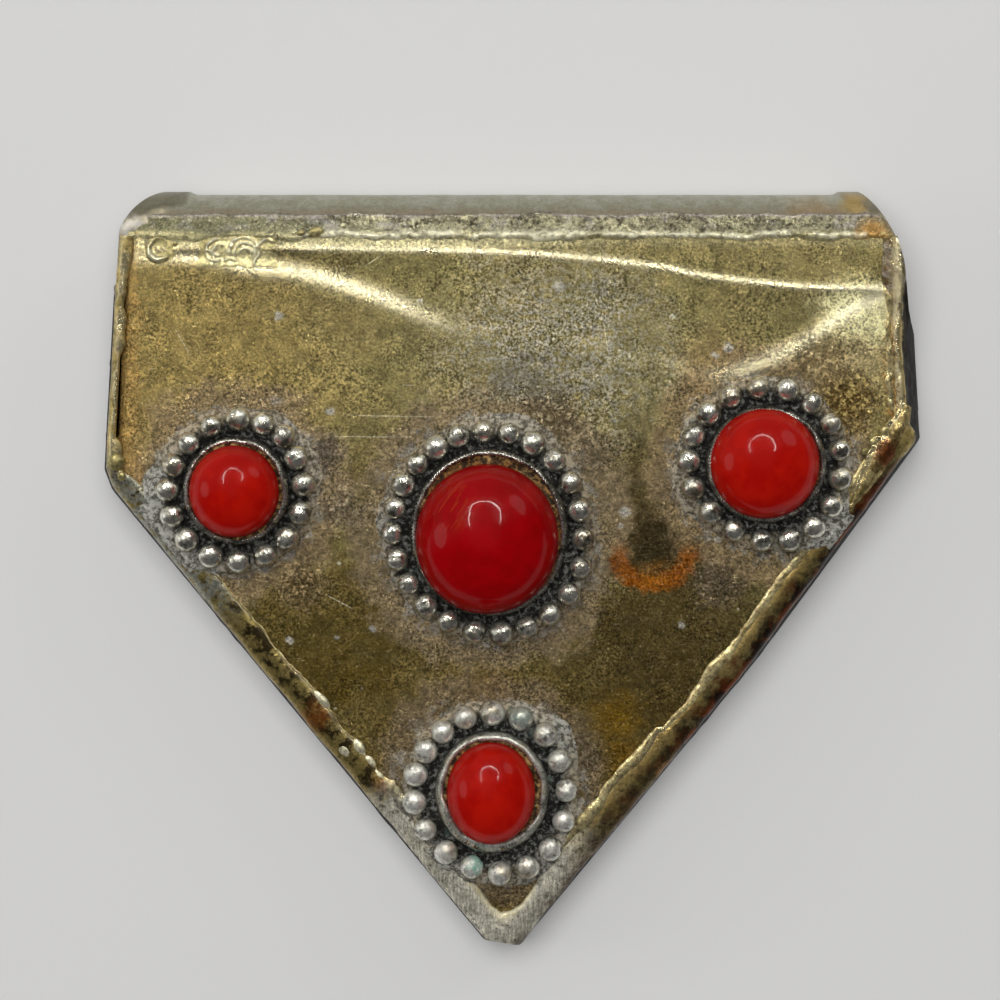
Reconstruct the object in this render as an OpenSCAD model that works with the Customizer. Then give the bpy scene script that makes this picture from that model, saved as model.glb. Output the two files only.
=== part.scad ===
// Folk pendant of sheet brass: a hollow soldered case with a cord tube along its top
// and four red cabochons in granulated settings.
// It lies on its back. X is across, Y runs up to the tube, Z comes out of the face.

/* [Case] */
// Width of the case across its lower shoulders
case_w = 57.2; // [50:0.1:70]
// Length of the case from the blunt tip to the top of the tube's collars
case_l = 52.4; // [46:0.1:64]
// Thickness of the brass sheet
sheet_t = 0.5; // [0.4:0.05:0.7]
// Radius of the bend between the back and the side walls
back_bend_r = 1.2; // [0.8:0.1:1.6]
// Slope of the front sheet, which falls from the tube to the tip
face_tilt = 2.5; // [1.5:0.1:3]

/* [Cord tube] */
// Outer diameter of the rolled tube
tube_d = 7; // [6:0.1:8]
// How far the collars at the tube's ends stand proud of it
collar_proud = 0.2; // [0.15:0.05:0.3]
// Plan radius of the left end of the tube
left_end_r = 4.7; // [3:0.1:8]
// Plan radius of the right end of the tube
right_end_r = 10.5; // [3:0.1:12]

/* [Front sheet] */
// Radius of the hollow where the front sheet comes down off the tube
valley_r = 10; // [8:0.5:12]
// Angle on the tube through which the front sheet wraps before the hollow
wrap_angle = 9; // [7:0.5:14]
// Angle past the top of the tube at which the front sheet's edge is lapped
lap_angle = 8; // [4:1:12]
// Height of the folded rim above the front sheet
rim_h = 0.3; // [0.2:0.05:0.5]
// Width of the open seam at the left wall
slit_w = 0.4; // [0.3:0.05:0.6]
// Length of the open seam at the left wall
slit_l = 2.8; // [1.5:0.1:4]

/* [Settings] */
// Diameter of one granule
granule_d = 1.6; // [1.4:0.05:1.7]
// Thickness of the base plate under each setting
plate_t = 0.35; // [0.3:0.05:0.5]
// Thickness of the bezel wall
bezel_t = 0.35; // [0.3:0.05:0.4]
// Height of the bezel wall above its plate
bezel_h = 1.5; // [1.2:0.1:2]
// Gap between the pieces of a setting, and between a setting and the case
fit_gap = 0.05; // [0.03:0.01:0.1]
// Thickness of the cement under a stone
bed_t = 0.25; // [0.15:0.05:0.4]
// How far the base plate reaches past the middle of the granules
plate_over = 0.3; // [0.1:0.05:0.4]

/* [Hidden] */

// Corners of the case in plan, anticlockwise from the top left. The columns are the
// place across as a share of case_w, the place up as a share of case_l from the tip,
// the inward lean in degrees of the wall that starts there, and the width of its rim
OUTLINE = [
    [-0.481, 1.010, 7, 1.15],
    [-0.500, 0.634, 12, 1.5],
    [-0.490, 0.607, 13, 1.4],
    [-0.035, 0.006, 15, 2.3],
    [0.010, 0.000, 13, 1.9],
    [0.302, 0.384, 13, 1.9],
    [0.500, 0.676, 13, 1.9],
    [0.482, 1.010, 0, 0]];
SHARE_X = 0;
SHARE_Y = 1;
LEAN = 2;
RIM = 3;

// One row for each setting: place of its middle, mean radius of the granule ring, how
// oval the ring is and in which direction, number of granules, direction of the first,
// how much they crowd and towards which side, and the bezel's and the stone's sizes
SETTINGS = [
    ["centre", -1.63, 2.73, 6.68, 0.24, 108, 23, 12, 3.5, 45, 5.50, 4.80, 4.6],
    ["left", -18.73, 5.59, 4.69, 0.14, 76, 16, 1, 2.5, 0, 3.65, 3.00, 3.2],
    ["right", 17.15, 7.36, 5.18, 0.09, 127, 17, 11, 1.5, 60, 4.15, 3.55, 3.6],
    ["bottom", -1.43, -14.98, 5.32, 0.20, 111, 17, 1, 3.5, 55, 4.00, 3.25, 3.3]];
AT_X = 1;
AT_Y = 2;
RING_R = 3;
OVAL = 4;
OVAL_DIR = 5;
COUNT = 6;
FIRST = 7;
CROWD = 8;
CROWD_DIR = 9;
BEZEL_R = 10;
STONE_R = 11;
STONE_H = 12;

$fn = 64;
far = 90;
tube_r = tube_d / 2;
bore_r = tube_r - sheet_t;
axis_y = case_l / 2 - collar_proud - tube_r;

// The tube lies a little above the back, so that only its collars are pressed flat
tube_lift = 0.05;
axis_z = tube_r + tube_lift;
crest_r = tube_r + sheet_t;
valley_y = axis_y - (crest_r + valley_r) * sin(wrap_angle);
valley_z = axis_z + (crest_r + valley_r) * cos(wrap_angle);
valley_steps = 3;

// The end arcs cut the corners of the case. Their middles stand at these shares of case_l
// up from the tip, and their sides this far inside the outline. Below them the cut runs out
// to the outline over the length end_run
left_end_up = 0.912;
right_end_up = 0.853;
left_end_in = 0.8;
right_end_in = 1.15;
end_run = 2.5;
end_spread = 1.5;
left_end_y = (left_end_up - 0.5) * case_l;
right_end_y = (right_end_up - 0.5) * case_l;

// Solder on the tube: depth of its root in the two sheets, how far under the front
// sheet's surface it lies at its start, middle and end, and the angles it runs between
root_depth = sheet_t * 1.5;
solder_start = 3;
solder_start_drop = 0.12;
solder_mid_drop = 0.22;
solder_end_drop = 0.45;
solder_end_angle = 33;
solder_reach = case_w * 0.475;

// The hollow ends at this angle on the tube, where solder fills the narrow corner. Its
// ceiling starts to come down this far before its end
hollow_end_angle = 40;
hollow_end_gap = 0.18;
hollow_end_step = 1;

// Place up the left wall at which the open seam starts, as a share of case_l
slit_up = 0.702;
slit_inset = 0.15;

// Share of a granule's diameter at which its middle stands above the base plate
granule_stand = 0.36;

// How far the dome of a stone starts below the bezel's edge
girdle_drop = 0.2;

function corner(i) = [OUTLINE[i][SHARE_X] * case_w, (OUTLINE[i][SHARE_Y] - 0.5) * case_l];
function side_step(i) = corner(i + 1) - corner(i);
function inward(i) = [-side_step(i).y, side_step(i).x] / norm(side_step(i));
function side_x(i, y) = corner(i).x + side_step(i).x * (y - corner(i).y) / side_step(i).y;
left_end_x = side_x(0, left_end_y) + left_end_in + left_end_r;
right_end_x = side_x(6, right_end_y) - right_end_in - right_end_r;

// Points of the front sheet's section in Y and Z, rise above its outer surface
function crest_point(a, rise) =
    [axis_y + (crest_r + rise) * sin(a), axis_z + (crest_r + rise) * cos(a)];
function valley_point(b, rise) =
    [valley_y + (valley_r - rise) * sin(b), valley_z - (valley_r - rise) * cos(b)];
function face_point(y, rise) =
    let (foot = valley_point(face_tilt, rise))
    [y, foot.y + (y - foot.x) * tan(face_tilt)];
function face_z(y) = face_point(y, 0).y;
function sheet_curve(rise) = concat(
    [face_point(-case_l, rise)],
    [for (i = [0 : valley_steps - 1])
        valley_point(face_tilt + (wrap_angle - face_tilt) * i / valley_steps, rise)],
    [for (i = [0 : valley_steps]) crest_point(wrap_angle * (i / valley_steps - 1), rise)]);

// Rounded right-hand and left-hand ends of the plan, as points of two arcs
function end_arc(x, y, r, from) = [for (a = [from : 10 : from + 90]) [x + r * cos(a), y + r * sin(a)]];

// Section of a side wall: inward distance and height, set in by the thickness inset
function wall_section(lean, inset) = concat(
    [for (a = [-90, -60, -30, 0, lean])
        [back_bend_r - (back_bend_r - inset) * cos(a), back_bend_r + (back_bend_r - inset) * sin(a)]],
    [[back_bend_r - (back_bend_r - inset) * cos(lean) + (far - back_bend_r) * tan(lean), far],
     [far, far], [far, inset]]);

// Everything on the inner side of one wall of the case
module inside_wall(i, inset) {
    translate([corner(i).x, corner(i).y, 0])
        rotate([0, 0, atan2(inward(i).y, inward(i).x)])
            rotate([90, 0, 0])
                translate([0, 0, -far])
                    linear_extrude(height = 2 * far)
                        polygon(wall_section(OUTLINE[i][LEAN], inset));
}

// Everything on the inner side of all the walls
module inside_walls(inset) {
    intersection() {
        inside_wall(0, inset);
        inside_wall(1, inset);
        inside_wall(2, inset);
        inside_wall(3, inset);
        inside_wall(4, inset);
        inside_wall(5, inset);
        inside_wall(6, inset);
    }
}

// Everything on the inner side of the rim of one wall
module inside_rim(i) {
    translate([corner(i).x, corner(i).y, 0])
        rotate([0, 0, atan2(inward(i).y, inward(i).x)])
            translate([OUTLINE[i][RIM], -far, -1])
                cube([far, 2 * far, far]);
}

// Plan of the case's top with its rounded ends, drawn in from the edge by inset
module plan_column(inset) {
    left_r = left_end_r - inset;
    right_r = right_end_r - inset;
    left_start_y = left_end_y - end_run;
    right_start_y = right_end_y - end_run;
    translate([0, 0, -2])
        linear_extrude(height = far)
            polygon(concat(
                [[-case_w, -case_l], [case_w, -case_l], [case_w, right_start_y],
                 [right_end_x + right_r + right_end_in * end_spread, right_start_y]],
                end_arc(right_end_x, right_end_y, right_r, 0),
                [[right_end_x, case_l], [left_end_x, case_l]],
                end_arc(left_end_x, left_end_y, left_r, 90),
                [[left_end_x - left_r - left_end_in * end_spread, left_start_y],
                 [-case_w, left_start_y]]));
}

// Space that the rim surrounds
module rim_window() {
    intersection() {
        inside_rim(0);
        inside_rim(1);
        inside_rim(2);
        inside_rim(3);
        inside_rim(4);
        inside_rim(5);
        inside_rim(6);
        plan_column(OUTLINE[0][RIM]);
    }
}

// Slab that runs across the case, with its section given in Y and Z
module across(points, reach) {
    translate([-reach, 0, 0])
        rotate([90, 0, 90])
            linear_extrude(height = 2 * reach)
                polygon(points);
}

// Everything under the front sheet's outer surface raised by rise
module under_sheet(rise) {
    across(concat([[-case_l, -1]], sheet_curve(rise),
                  [crest_point(lap_angle, rise), crest_point(lap_angle, -root_depth),
                   [axis_y - sheet_t, axis_z], [axis_y - sheet_t, -1]]), case_w);
}

module tube_cylinder(r) {
    translate([-case_w, axis_y, axis_z])
        rotate([0, 90, 0])
            cylinder(r = r, h = 2 * case_w);
}

// Solder that fills the step between the front sheet's edge and the tube
module lap_solder() {
    across([crest_point(lap_angle - solder_start, -root_depth),
            crest_point(lap_angle - solder_start, -solder_start_drop),
            crest_point((lap_angle + solder_end_angle) / 2, -solder_mid_drop),
            crest_point(solder_end_angle, -solder_end_drop), crest_point(solder_end_angle, -root_depth)],
           solder_reach);
}

// Hollow inside the case, under the front sheet and clear of the tube
module case_hollow() {
    end_y = axis_y - tube_r * sin(hollow_end_angle);
    end_z = axis_z + tube_r * cos(hollow_end_angle) + hollow_end_gap;
    difference() {
        intersection() {
            inside_walls(sheet_t);
            plan_column(sheet_t);
            across([[-case_l, -1], face_point(-case_l, -sheet_t),
                    face_point(end_y - hollow_end_step, -sheet_t),
                    [end_y, end_z], [end_y, -1]], case_w);
        }
        tube_cylinder(tube_r);
    }
}

// Open seam between the left wall and the front sheet
module seam_slit() {
    y = (slit_up - 0.5) * case_l;
    translate([-case_w / 2 + OUTLINE[0][RIM] + slit_inset, y, face_z(y) - 2 * sheet_t])
        cube([slit_w, slit_l, 4 * sheet_t]);
}

// Body of the pendant: back and front sheets, side walls, rim, tube and solder
module brass_case() {
    color("darkgoldenrod")
        difference() {
            intersection() {
                union() {
                    under_sheet(0);
                    tube_cylinder(tube_r);
                    lap_solder();
                    difference() {
                        union() {
                            under_sheet(rim_h);
                            tube_cylinder(tube_r + collar_proud);
                        }
                        rim_window();
                    }
                }
                inside_walls(0);
                plan_column(0);
            }
            case_hollow();
            tube_cylinder(bore_r);
            seam_slit();
        }
}

// Puts a setting's pieces on the sloping face, at the row's place
module on_face(row) {
    translate([row[AT_X], row[AT_Y], face_z(row[AT_Y])])
        rotate([face_tilt, 0, 0])
            translate([0, 0, fit_gap])
                children();
}

function granule_angle(row, i) =
    let (even = i * 360 / row[COUNT])
    row[FIRST] + even + row[CROWD] * cos(even - row[CROWD_DIR]);
function granule_reach(row, angle) = row[RING_R] + row[OVAL] * cos(2 * (angle - row[OVAL_DIR]));

// Base plate, bezel wall and ring of granules, soldered together
module setting(row) {
    color("silver")
        on_face(row)
            union() {
                cylinder(r = row[RING_R] + plate_over, h = plate_t);
                difference() {
                    cylinder(r = row[BEZEL_R], h = plate_t + bezel_h);
                    translate([0, 0, plate_t])
                        cylinder(r = row[BEZEL_R] - bezel_t, h = bezel_h + 1);
                }
                for (i = [0 : row[COUNT] - 1])
                    let (angle = granule_angle(row, i))
                        rotate([0, 0, angle])
                            translate([granule_reach(row, angle), 0, plate_t + granule_d * granule_stand])
                                sphere(d = granule_d);
            }
}

// Cement cup that holds a stone in its bezel
module bed(row) {
    color("peru")
        on_face(row)
            translate([0, 0, plate_t + fit_gap])
                difference() {
                    cylinder(r = row[BEZEL_R] - bezel_t - fit_gap, h = bezel_h - fit_gap);
                    translate([0, 0, bed_t])
                        cylinder(r = row[STONE_R] + fit_gap, h = bezel_h);
                }
}

// Domed round cabochon with a short straight girdle
module stone(row) {
    girdle_h = bezel_h - bed_t - girdle_drop;
    dome_h = row[STONE_H] - girdle_h;
    dome_r = (row[STONE_R] * row[STONE_R] + dome_h * dome_h) / (2 * dome_h);
    color("firebrick")
        on_face(row)
            translate([0, 0, plate_t + bed_t + 2 * fit_gap])
                intersection() {
                    cylinder(r = row[STONE_R], h = row[STONE_H] + 1);
                    translate([0, 0, row[STONE_H] - dome_r])
                        sphere(r = dome_r);
                }
}

module setting_centre() { setting(SETTINGS[0]); }
module setting_left() { setting(SETTINGS[1]); }
module setting_right() { setting(SETTINGS[2]); }
module setting_bottom() { setting(SETTINGS[3]); }
module bed_centre() { bed(SETTINGS[0]); }
module bed_left() { bed(SETTINGS[1]); }
module bed_right() { bed(SETTINGS[2]); }
module bed_bottom() { bed(SETTINGS[3]); }
module stone_centre() { stone(SETTINGS[0]); }
module stone_left() { stone(SETTINGS[1]); }
module stone_right() { stone(SETTINGS[2]); }
module stone_bottom() { stone(SETTINGS[3]); }

brass_case();
setting_centre();
setting_left();
setting_right();
setting_bottom();
bed_centre();
bed_left();
bed_right();
bed_bottom();
stone_centre();
stone_left();
stone_right();
stone_bottom();
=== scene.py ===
import math
import random

import bmesh
import bpy
from mathutils import Matrix, Vector, noise


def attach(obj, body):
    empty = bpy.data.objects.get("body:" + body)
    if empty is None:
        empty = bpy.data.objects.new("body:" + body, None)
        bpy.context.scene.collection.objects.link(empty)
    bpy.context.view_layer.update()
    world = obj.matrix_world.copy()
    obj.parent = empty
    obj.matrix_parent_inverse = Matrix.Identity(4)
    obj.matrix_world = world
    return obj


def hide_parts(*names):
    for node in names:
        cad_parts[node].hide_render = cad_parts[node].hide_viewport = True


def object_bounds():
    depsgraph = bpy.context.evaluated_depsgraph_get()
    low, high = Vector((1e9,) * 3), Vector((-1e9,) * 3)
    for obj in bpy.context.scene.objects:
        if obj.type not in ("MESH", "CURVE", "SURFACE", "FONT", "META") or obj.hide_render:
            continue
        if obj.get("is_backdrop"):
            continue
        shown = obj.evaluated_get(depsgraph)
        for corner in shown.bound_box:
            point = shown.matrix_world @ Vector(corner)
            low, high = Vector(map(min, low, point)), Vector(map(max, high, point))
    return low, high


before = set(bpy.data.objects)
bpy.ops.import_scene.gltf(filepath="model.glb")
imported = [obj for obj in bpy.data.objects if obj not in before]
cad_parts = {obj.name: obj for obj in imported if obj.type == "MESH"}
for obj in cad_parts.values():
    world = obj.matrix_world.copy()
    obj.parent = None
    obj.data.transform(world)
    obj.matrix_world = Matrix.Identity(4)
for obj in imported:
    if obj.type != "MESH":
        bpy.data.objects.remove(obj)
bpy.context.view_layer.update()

# Camera straight over the face of the pendant, as the photograph was taken,
# 200 mm above the surface that the pendant lies on.
camera_at = (-0.00087, 0.00490, 0.200)
camera_lens = 102.2
camera_sensor = 36.0
camera_near = 0.01

camera = bpy.data.objects.new("camera", bpy.data.cameras.new("camera"))
camera.data.lens = camera_lens
camera.data.sensor_width = camera_sensor
camera.data.clip_start = camera_near
camera.location = camera_at
bpy.context.scene.collection.objects.link(camera)
bpy.context.scene.camera = camera
bpy.context.scene.view_settings.view_transform = "Standard"

# Plain pale table that the pendant lies on, smooth and evenly matt, and wide
# enough to fill the view from every side.
floor_half = 1.5
floor_look = {"Base Color": (0.80, 0.795, 0.785, 1.0), "Roughness": 0.55}


def stage_piece(name, shape, finish_name, look):
    """Makes a piece of the stage from a shape in metres, with values for its shader"""
    mesh = bpy.data.meshes.new(name)
    shape.to_mesh(mesh)
    shape.free()
    piece = bpy.data.objects.new(name, mesh)
    finish = bpy.data.materials.new(finish_name)
    finish.use_nodes = True
    for socket, value in look.items():
        finish.node_tree.nodes["Principled BSDF"].inputs[socket].default_value = value
    mesh.materials.append(finish)
    bpy.context.scene.collection.objects.link(piece)
    piece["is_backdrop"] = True
    return piece


floor_shape = bmesh.new()
bmesh.ops.create_grid(floor_shape, x_segments=2, y_segments=2, size=floor_half)
stage_piece("floor", floor_shape, "pale_board", floor_look)

# Studio light: a soft room that is brighter above the tube than above the tip,
# a thin ring lamp leaning in over the tube, and large soft panels.
room_dark = (0.02, 0.02, 0.021, 1.0)
room_bright = (0.27, 0.27, 0.265, 1.0)
room_lean_x = -0.35
room_reach = 0.55
lamp_middle = Vector((-0.038, 0.231, 0.443))
lamp_radius = 0.19
lamp_tube = 0.0055
lamp_look = {"Emission Color": (1.0, 0.97, 0.92, 1.0), "Emission Strength": 55.0}
lamp_start = math.radians(-25)
lamp_sweep = math.radians(235)


def add_node(tree, kind, inputs, **settings):
    """Adds a node, with its settings, and joins or sets its inputs"""
    node = tree.nodes.new("ShaderNode" + kind)
    for key, value in settings.items():
        setattr(node, key, value)
    for key, value in inputs.items():
        if isinstance(value, bpy.types.NodeSocket):
            tree.links.new(value, node.inputs[key])
        else:
            node.inputs[key].default_value = value
    return node


room = bpy.data.worlds.new("room")
room.use_nodes = True
room_tree = room.node_tree
room_way = add_node(room_tree, "TexCoord", {})
room_split = add_node(room_tree, "SeparateXYZ", {0: room_way.outputs["Generated"]})
room_lean = add_node(room_tree, "Math", {0: room_split.outputs["X"], 1: room_lean_x, 2: room_split.outputs["Y"]},
                     operation="MULTIPLY_ADD")
room_share = add_node(room_tree, "MapRange", {"Value": room_lean.outputs[0], "From Max": room_reach},
                      interpolation_type="SMOOTHSTEP")
room_mix = add_node(room_tree, "Mix", {}, data_type="RGBA")
room_mix.inputs["A"].default_value = room_dark
room_mix.inputs["B"].default_value = room_bright
room_tree.links.new(room_share.outputs[0], room_mix.inputs["Factor"])
room_tree.links.new(room_mix.outputs["Result"], room_tree.nodes["Background"].inputs["Color"])
bpy.context.scene.world = room

lamp_shape = bmesh.new()
lamp_end = (Matrix.Rotation(lamp_start, 4, "Z") @ Matrix.Translation((lamp_radius, 0, 0))
            @ Matrix.Rotation(math.pi / 2, 4, "X"))
bmesh.ops.create_circle(lamp_shape, cap_ends=True, segments=12, radius=lamp_tube, matrix=lamp_end)
bmesh.ops.spin(lamp_shape, geom=lamp_shape.verts[:] + lamp_shape.edges[:] + lamp_shape.faces[:], cent=(0, 0, 0),
               axis=(0, 0, 1), angle=lamp_sweep, steps=48)
bmesh.ops.recalc_face_normals(lamp_shape, faces=lamp_shape.faces)
lamp_side = Vector((1, 0, 0))
lamp_ahead = lamp_middle.normalized()
lamp_up = lamp_ahead.cross(lamp_side).normalized()
lamp_frame = Matrix((lamp_side, lamp_up, lamp_ahead)).transposed().to_4x4()
lamp_shape.transform(Matrix.Translation(lamp_middle) @ lamp_frame)
lamp = stage_piece("ring_lamp", lamp_shape, "lamp_glow", lamp_look)
lamp.visible_camera = False
lamp.visible_diffuse = False

for panel_name, panel_at, panel_size, panel_watts, mirrored in [
        ("soft_ceiling", (-0.06, 0.10, 0.80), 0.62, 4.75, False),
        ("patch_at_left", (-0.65, 0.03, 0.25), 0.32, 0.30, True),
        ("patch_at_right", (0.42, 0.42, 0.29), 0.30, 0.26, True)]:
    panel = bpy.data.objects.new(panel_name, bpy.data.lights.new(panel_name, "AREA"))
    panel.data.shape = "DISK"
    panel.data.size = panel_size
    panel.data.energy = panel_watts
    panel.location = panel_at
    panel.rotation_mode = "QUATERNION"
    panel.rotation_quaternion = (-panel.location).to_track_quat("-Z", "Y")
    panel.visible_glossy = mirrored
    bpy.context.scene.collection.objects.link(panel)


# Front sheet of thin brass, bent down off the cord tube by hand. It has soft
# creases that run in from the upper corners, and it is soldered to the tube.
sheet_t = 0.45
case_corners = [Vector(p) for p in [
    (-27.51, 26.72), (-28.6, 7.02), (-28.03, 5.61), (-2.0, -25.89),
    (0.57, -26.2), (17.27, -6.08), (28.6, 9.22), (27.57, 26.72)]]
tube_y, tube_z, tube_r = 22.5, 3.55, 3.5
face_tilt = 2.5
face_slope = math.tan(math.radians(face_tilt))
foot_y, foot_z = 20.746, 7.387
sheet_half, lap_y = 28.6, 22.9
front_top, front_bottom = 23.12, -26.32
# The grid's row that lies on the crest, the shares of rows above and below it, and how
# close the rows lie there against an even grid
crest_row, rows_above, rows_below, crowd = 0.7, 0.3, 1.7, 0.3
# Easing of the section at the crest, how much more it is elsewhere, and how soon
crest_ease, more_ease, ease_reach = 0.16, 0.24, 0.9
# Hand-beaten unevenness, as size and depth
unevenness = [(8, 0.07), (3, 0.018)]
front_insets = [1.5, 1.9, 1.7, 1.7, 1.7, 1.9, 2.4]
left_turn_down, left_turn_slope = 1.95, 1.3
# Bright lines, rubbed metal under a painted highlight: how far above the crease's edge and how wide,
# the drop that is painted fully bright, how wide along the crest, and where across that one starts
shine_above, crease_shine, full_shine_drop, crest_shine, shine_from = 0.5, 0.62, 0.19, 0.24, -17
# How far below a crease the face starts to lift, how far above it the drop ends, and the
# least distances that the two keep from the crest
crease_run, crease_back, crease_gap, drop_gap = 5, 1.25, 0.9, 0.45
# Where the right crease starts to die away into the crest
crease_end_x, crease_end_run = 18.5, 3
# Behind the crest: run and fall of the first slope, least run to the lap, and the
# climb towards the lap on the right
behind_run, behind_fall, lap_run, lap_climb = 0.4, 0.10, 1.3, 0.05
# Lower edge of the two creases: place across, place up, lift above the flat face,
# and drop behind it
crease = [
    (-29, 21.4, 0.02, 0.03), (-21.2, 21.0, 0.05, 0.18), (-17.9, 20.3, 0.08, 0.28), (-14.2, 19.8, 0.10, 0.30),
    (-10.8, 18.8, 0.10, 0.29), (-8.0, 17.8, 0.09, 0.24), (-5.6, 16.8, 0.05, 0.12), (-2.5, 15.8, 0.0, 0.0),
    (3.0, 15.0, 0.0, 0.0), (8.0, 14.2, 0.0, 0.0), (12.5, 13.0, 0.03, 0.03), (14.1, 12.9, 0.07, 0.12),
    (16.75, 13.7, 0.12, 0.24), (19.7, 15.1, 0.14, 0.29), (22.5, 17.0, 0.13, 0.28), (25.5, 18.4, 0.06, 0.14),
    (29, 18.6, 0.0, 0.03)]
# Crest of the sheet in front of the tube: place across, place up and height
crest = [
    (-29, 21.9, 7.33), (-15.4, 21.9, 7.33), (-9.7, 21.85, 7.33), (-2.2, 21.7, 7.33), (3.15, 21.4, 7.34),
    (9.7, 20.7, 7.34), (12.7, 20.1, 7.34), (16.6, 19.6, 7.34), (20.6, 19.25, 7.35), (29, 19.1, 7.37)]
# Middle and reach of each setting's ring on the face
setting_middles = {"centre": (-1.63, 2.73, 7.5), "left": (-18.73, 5.59, 5.5),
                   "right": (17.15, 7.36, 6.0), "bottom": (-1.43, -14.98, 6.1)}


def clamp(v):
    return min(max(v, 0), 1)


def hill(v):
    """Height of a smooth hill at v widths from its middle"""
    return math.exp(-v ** 2)


def waver(x, y, z):
    """Smooth random value at a place, about -1 to 1"""
    return noise.noise(Vector((x, y, z)))


def follow(points, x, column):
    """Value of a smooth line through the points at x"""
    i = 0
    while i < len(points) - 2 and x > points[i + 1][0]:
        i += 1
    (x0, v0), (x1, v1) = [(points[j][0], points[j][column]) for j in (i, i + 1)]
    before, after = points[max(i - 1, 0)], points[min(i + 2, len(points) - 1)]
    slope0 = (v1 - before[column]) / (x1 - before[0]) if i else (v1 - v0) / (x1 - x0)
    slope1 = (after[column] - v0) / (after[0] - x0)
    t = clamp((x - x0) / (x1 - x0))
    step = x1 - x0
    return ((2 * t ** 3 - 3 * t ** 2 + 1) * v0 + (t ** 3 - 2 * t ** 2 + t) * step * slope0
            + (3 * t ** 2 - 2 * t ** 3) * v1 + (t ** 3 - t ** 2) * step * slope1)


def face_height(y):
    return foot_z + (y - foot_y) * face_slope


def sheet_section(x):
    """Knots of the front sheet's section at x, as (place up, height)"""
    crest_y, crest_z = follow(crest, x, 1), follow(crest, x, 2)
    ridge_y = min(follow(crease, x, 1), crest_y - crease_gap)
    lift, drop = max(follow(crease, x, 2), 0), max(follow(crease, x, 3), 0)
    near = clamp((x - crease_end_x) / crease_end_run)
    drop *= 1 - near + near * clamp((crest_y - drop_gap - ridge_y) / crease_back) ** 1.5
    run_y = ridge_y - crease_run
    knots = [(-30, face_height(-30)), (run_y, face_height(run_y))]
    for t in (0.2, 0.4, 0.6, 0.8, 1.0):
        y = run_y + crease_run * t
        knots.append((y, face_height(y) + lift * t * t))
    low_y = min(ridge_y + crease_back, crest_y - drop_gap)
    low_z = knots[-1][1] - drop
    knots.append((low_y, low_z))
    for t in (0.25, 0.5, 0.75, 1.0):
        knots.append((low_y + (crest_y - low_y) * t, low_z + (crest_z - low_z) * t ** 1.3))
    # it falls off behind the crest and then climbs again to its lapped edge on the tube
    lap = max(lap_y, crest_y + lap_run)
    climb = lap_climb * clamp((x + 2) / 8)
    knots.append((crest_y + behind_run, crest_z - behind_fall))
    knots.append((lap, crest_z - behind_fall + climb * (lap - crest_y - behind_run)))
    knots.append((25, crest_z - 0.5))
    return knots


def height_in(knots, y, ease=0.4):
    """Height of a section at y, with its corners eased"""
    total = 0
    for shift, share in ((-1, 0.12), (-0.5, 0.23), (0, 0.30), (0.5, 0.23), (1, 0.12)):
        at = y + ease * shift
        i = 0
        while i < len(knots) - 2 and at > knots[i + 1][0]:
            i += 1
        (y0, z0), (y1, z1) = knots[i], knots[i + 1]
        total += share * (z0 + (z1 - z0) * (at - y0) / max(y1 - y0, 1e-6))
    return total


def sheet_height(x, y):
    return height_in(sheet_section(x), y)


def tube_top(y, proud=0.0):
    """Height of the cord tube's upper side"""
    return tube_z + math.sqrt(max(tube_r ** 2 - (y - tube_y) ** 2, 0)) + proud


def inset_line(i, inset):
    """A point on side i of the outline drawn in by inset, and the side's inward direction"""
    way = (case_corners[i + 1] - case_corners[i]).normalized()
    inward = Vector((-way.y, way.x))
    return case_corners[i] + inward * inset, inward


def cut_outline(shape, insets):
    """Cuts a sheet off along the sides of the outline, each drawn in by its inset"""
    for i, inset in enumerate(insets):
        point, inward = inset_line(i, inset)
        bmesh.ops.bisect_plane(shape, geom=shape.verts[:] + shape.edges[:] + shape.faces[:],
                               plane_co=point.to_3d(), plane_no=inward.to_3d(), clear_inner=True)


def add_grid(shape, across, up):
    """Adds a flat grid, given back as its points with their shares of the way across and up"""
    made = bmesh.ops.create_grid(shape, x_segments=across, y_segments=up, size=1)["verts"]
    return [(v, (v.co.x + 1) / 2, (v.co.y + 1) / 2) for v in made]


def turn_faces(shape, way):
    """Turns the faces over if on the whole they look against way(face)"""
    if sum(face.normal.dot(way(face)) for face in shape.faces) < 0:
        bmesh.ops.reverse_faces(shape, faces=shape.faces)


def upwards(face):
    return Vector((0, 0, 1))


def outwards(face):
    return face.calc_center_median().xy.to_3d()


def set_down(shape, name, finish, node, thickness=None):
    """Makes a piece from a shape in millimetres, and gives a sheet its thickness"""
    bmesh.ops.scale(shape, vec=(0.001, 0.001, 0.001), verts=shape.verts)
    for face in shape.faces:
        face.smooth = True
    mesh = bpy.data.meshes.new(name)
    shape.to_mesh(mesh)
    shape.free()
    mesh.materials.append(finish)
    piece = bpy.data.objects.new(name, mesh)
    bpy.context.scene.collection.objects.link(piece)
    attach(piece, "root")
    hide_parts(node)
    if thickness:
        wall = piece.modifiers.new("thickness", "SOLIDIFY")
        wall.thickness = thickness * 0.001
        wall.offset = -1


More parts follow.
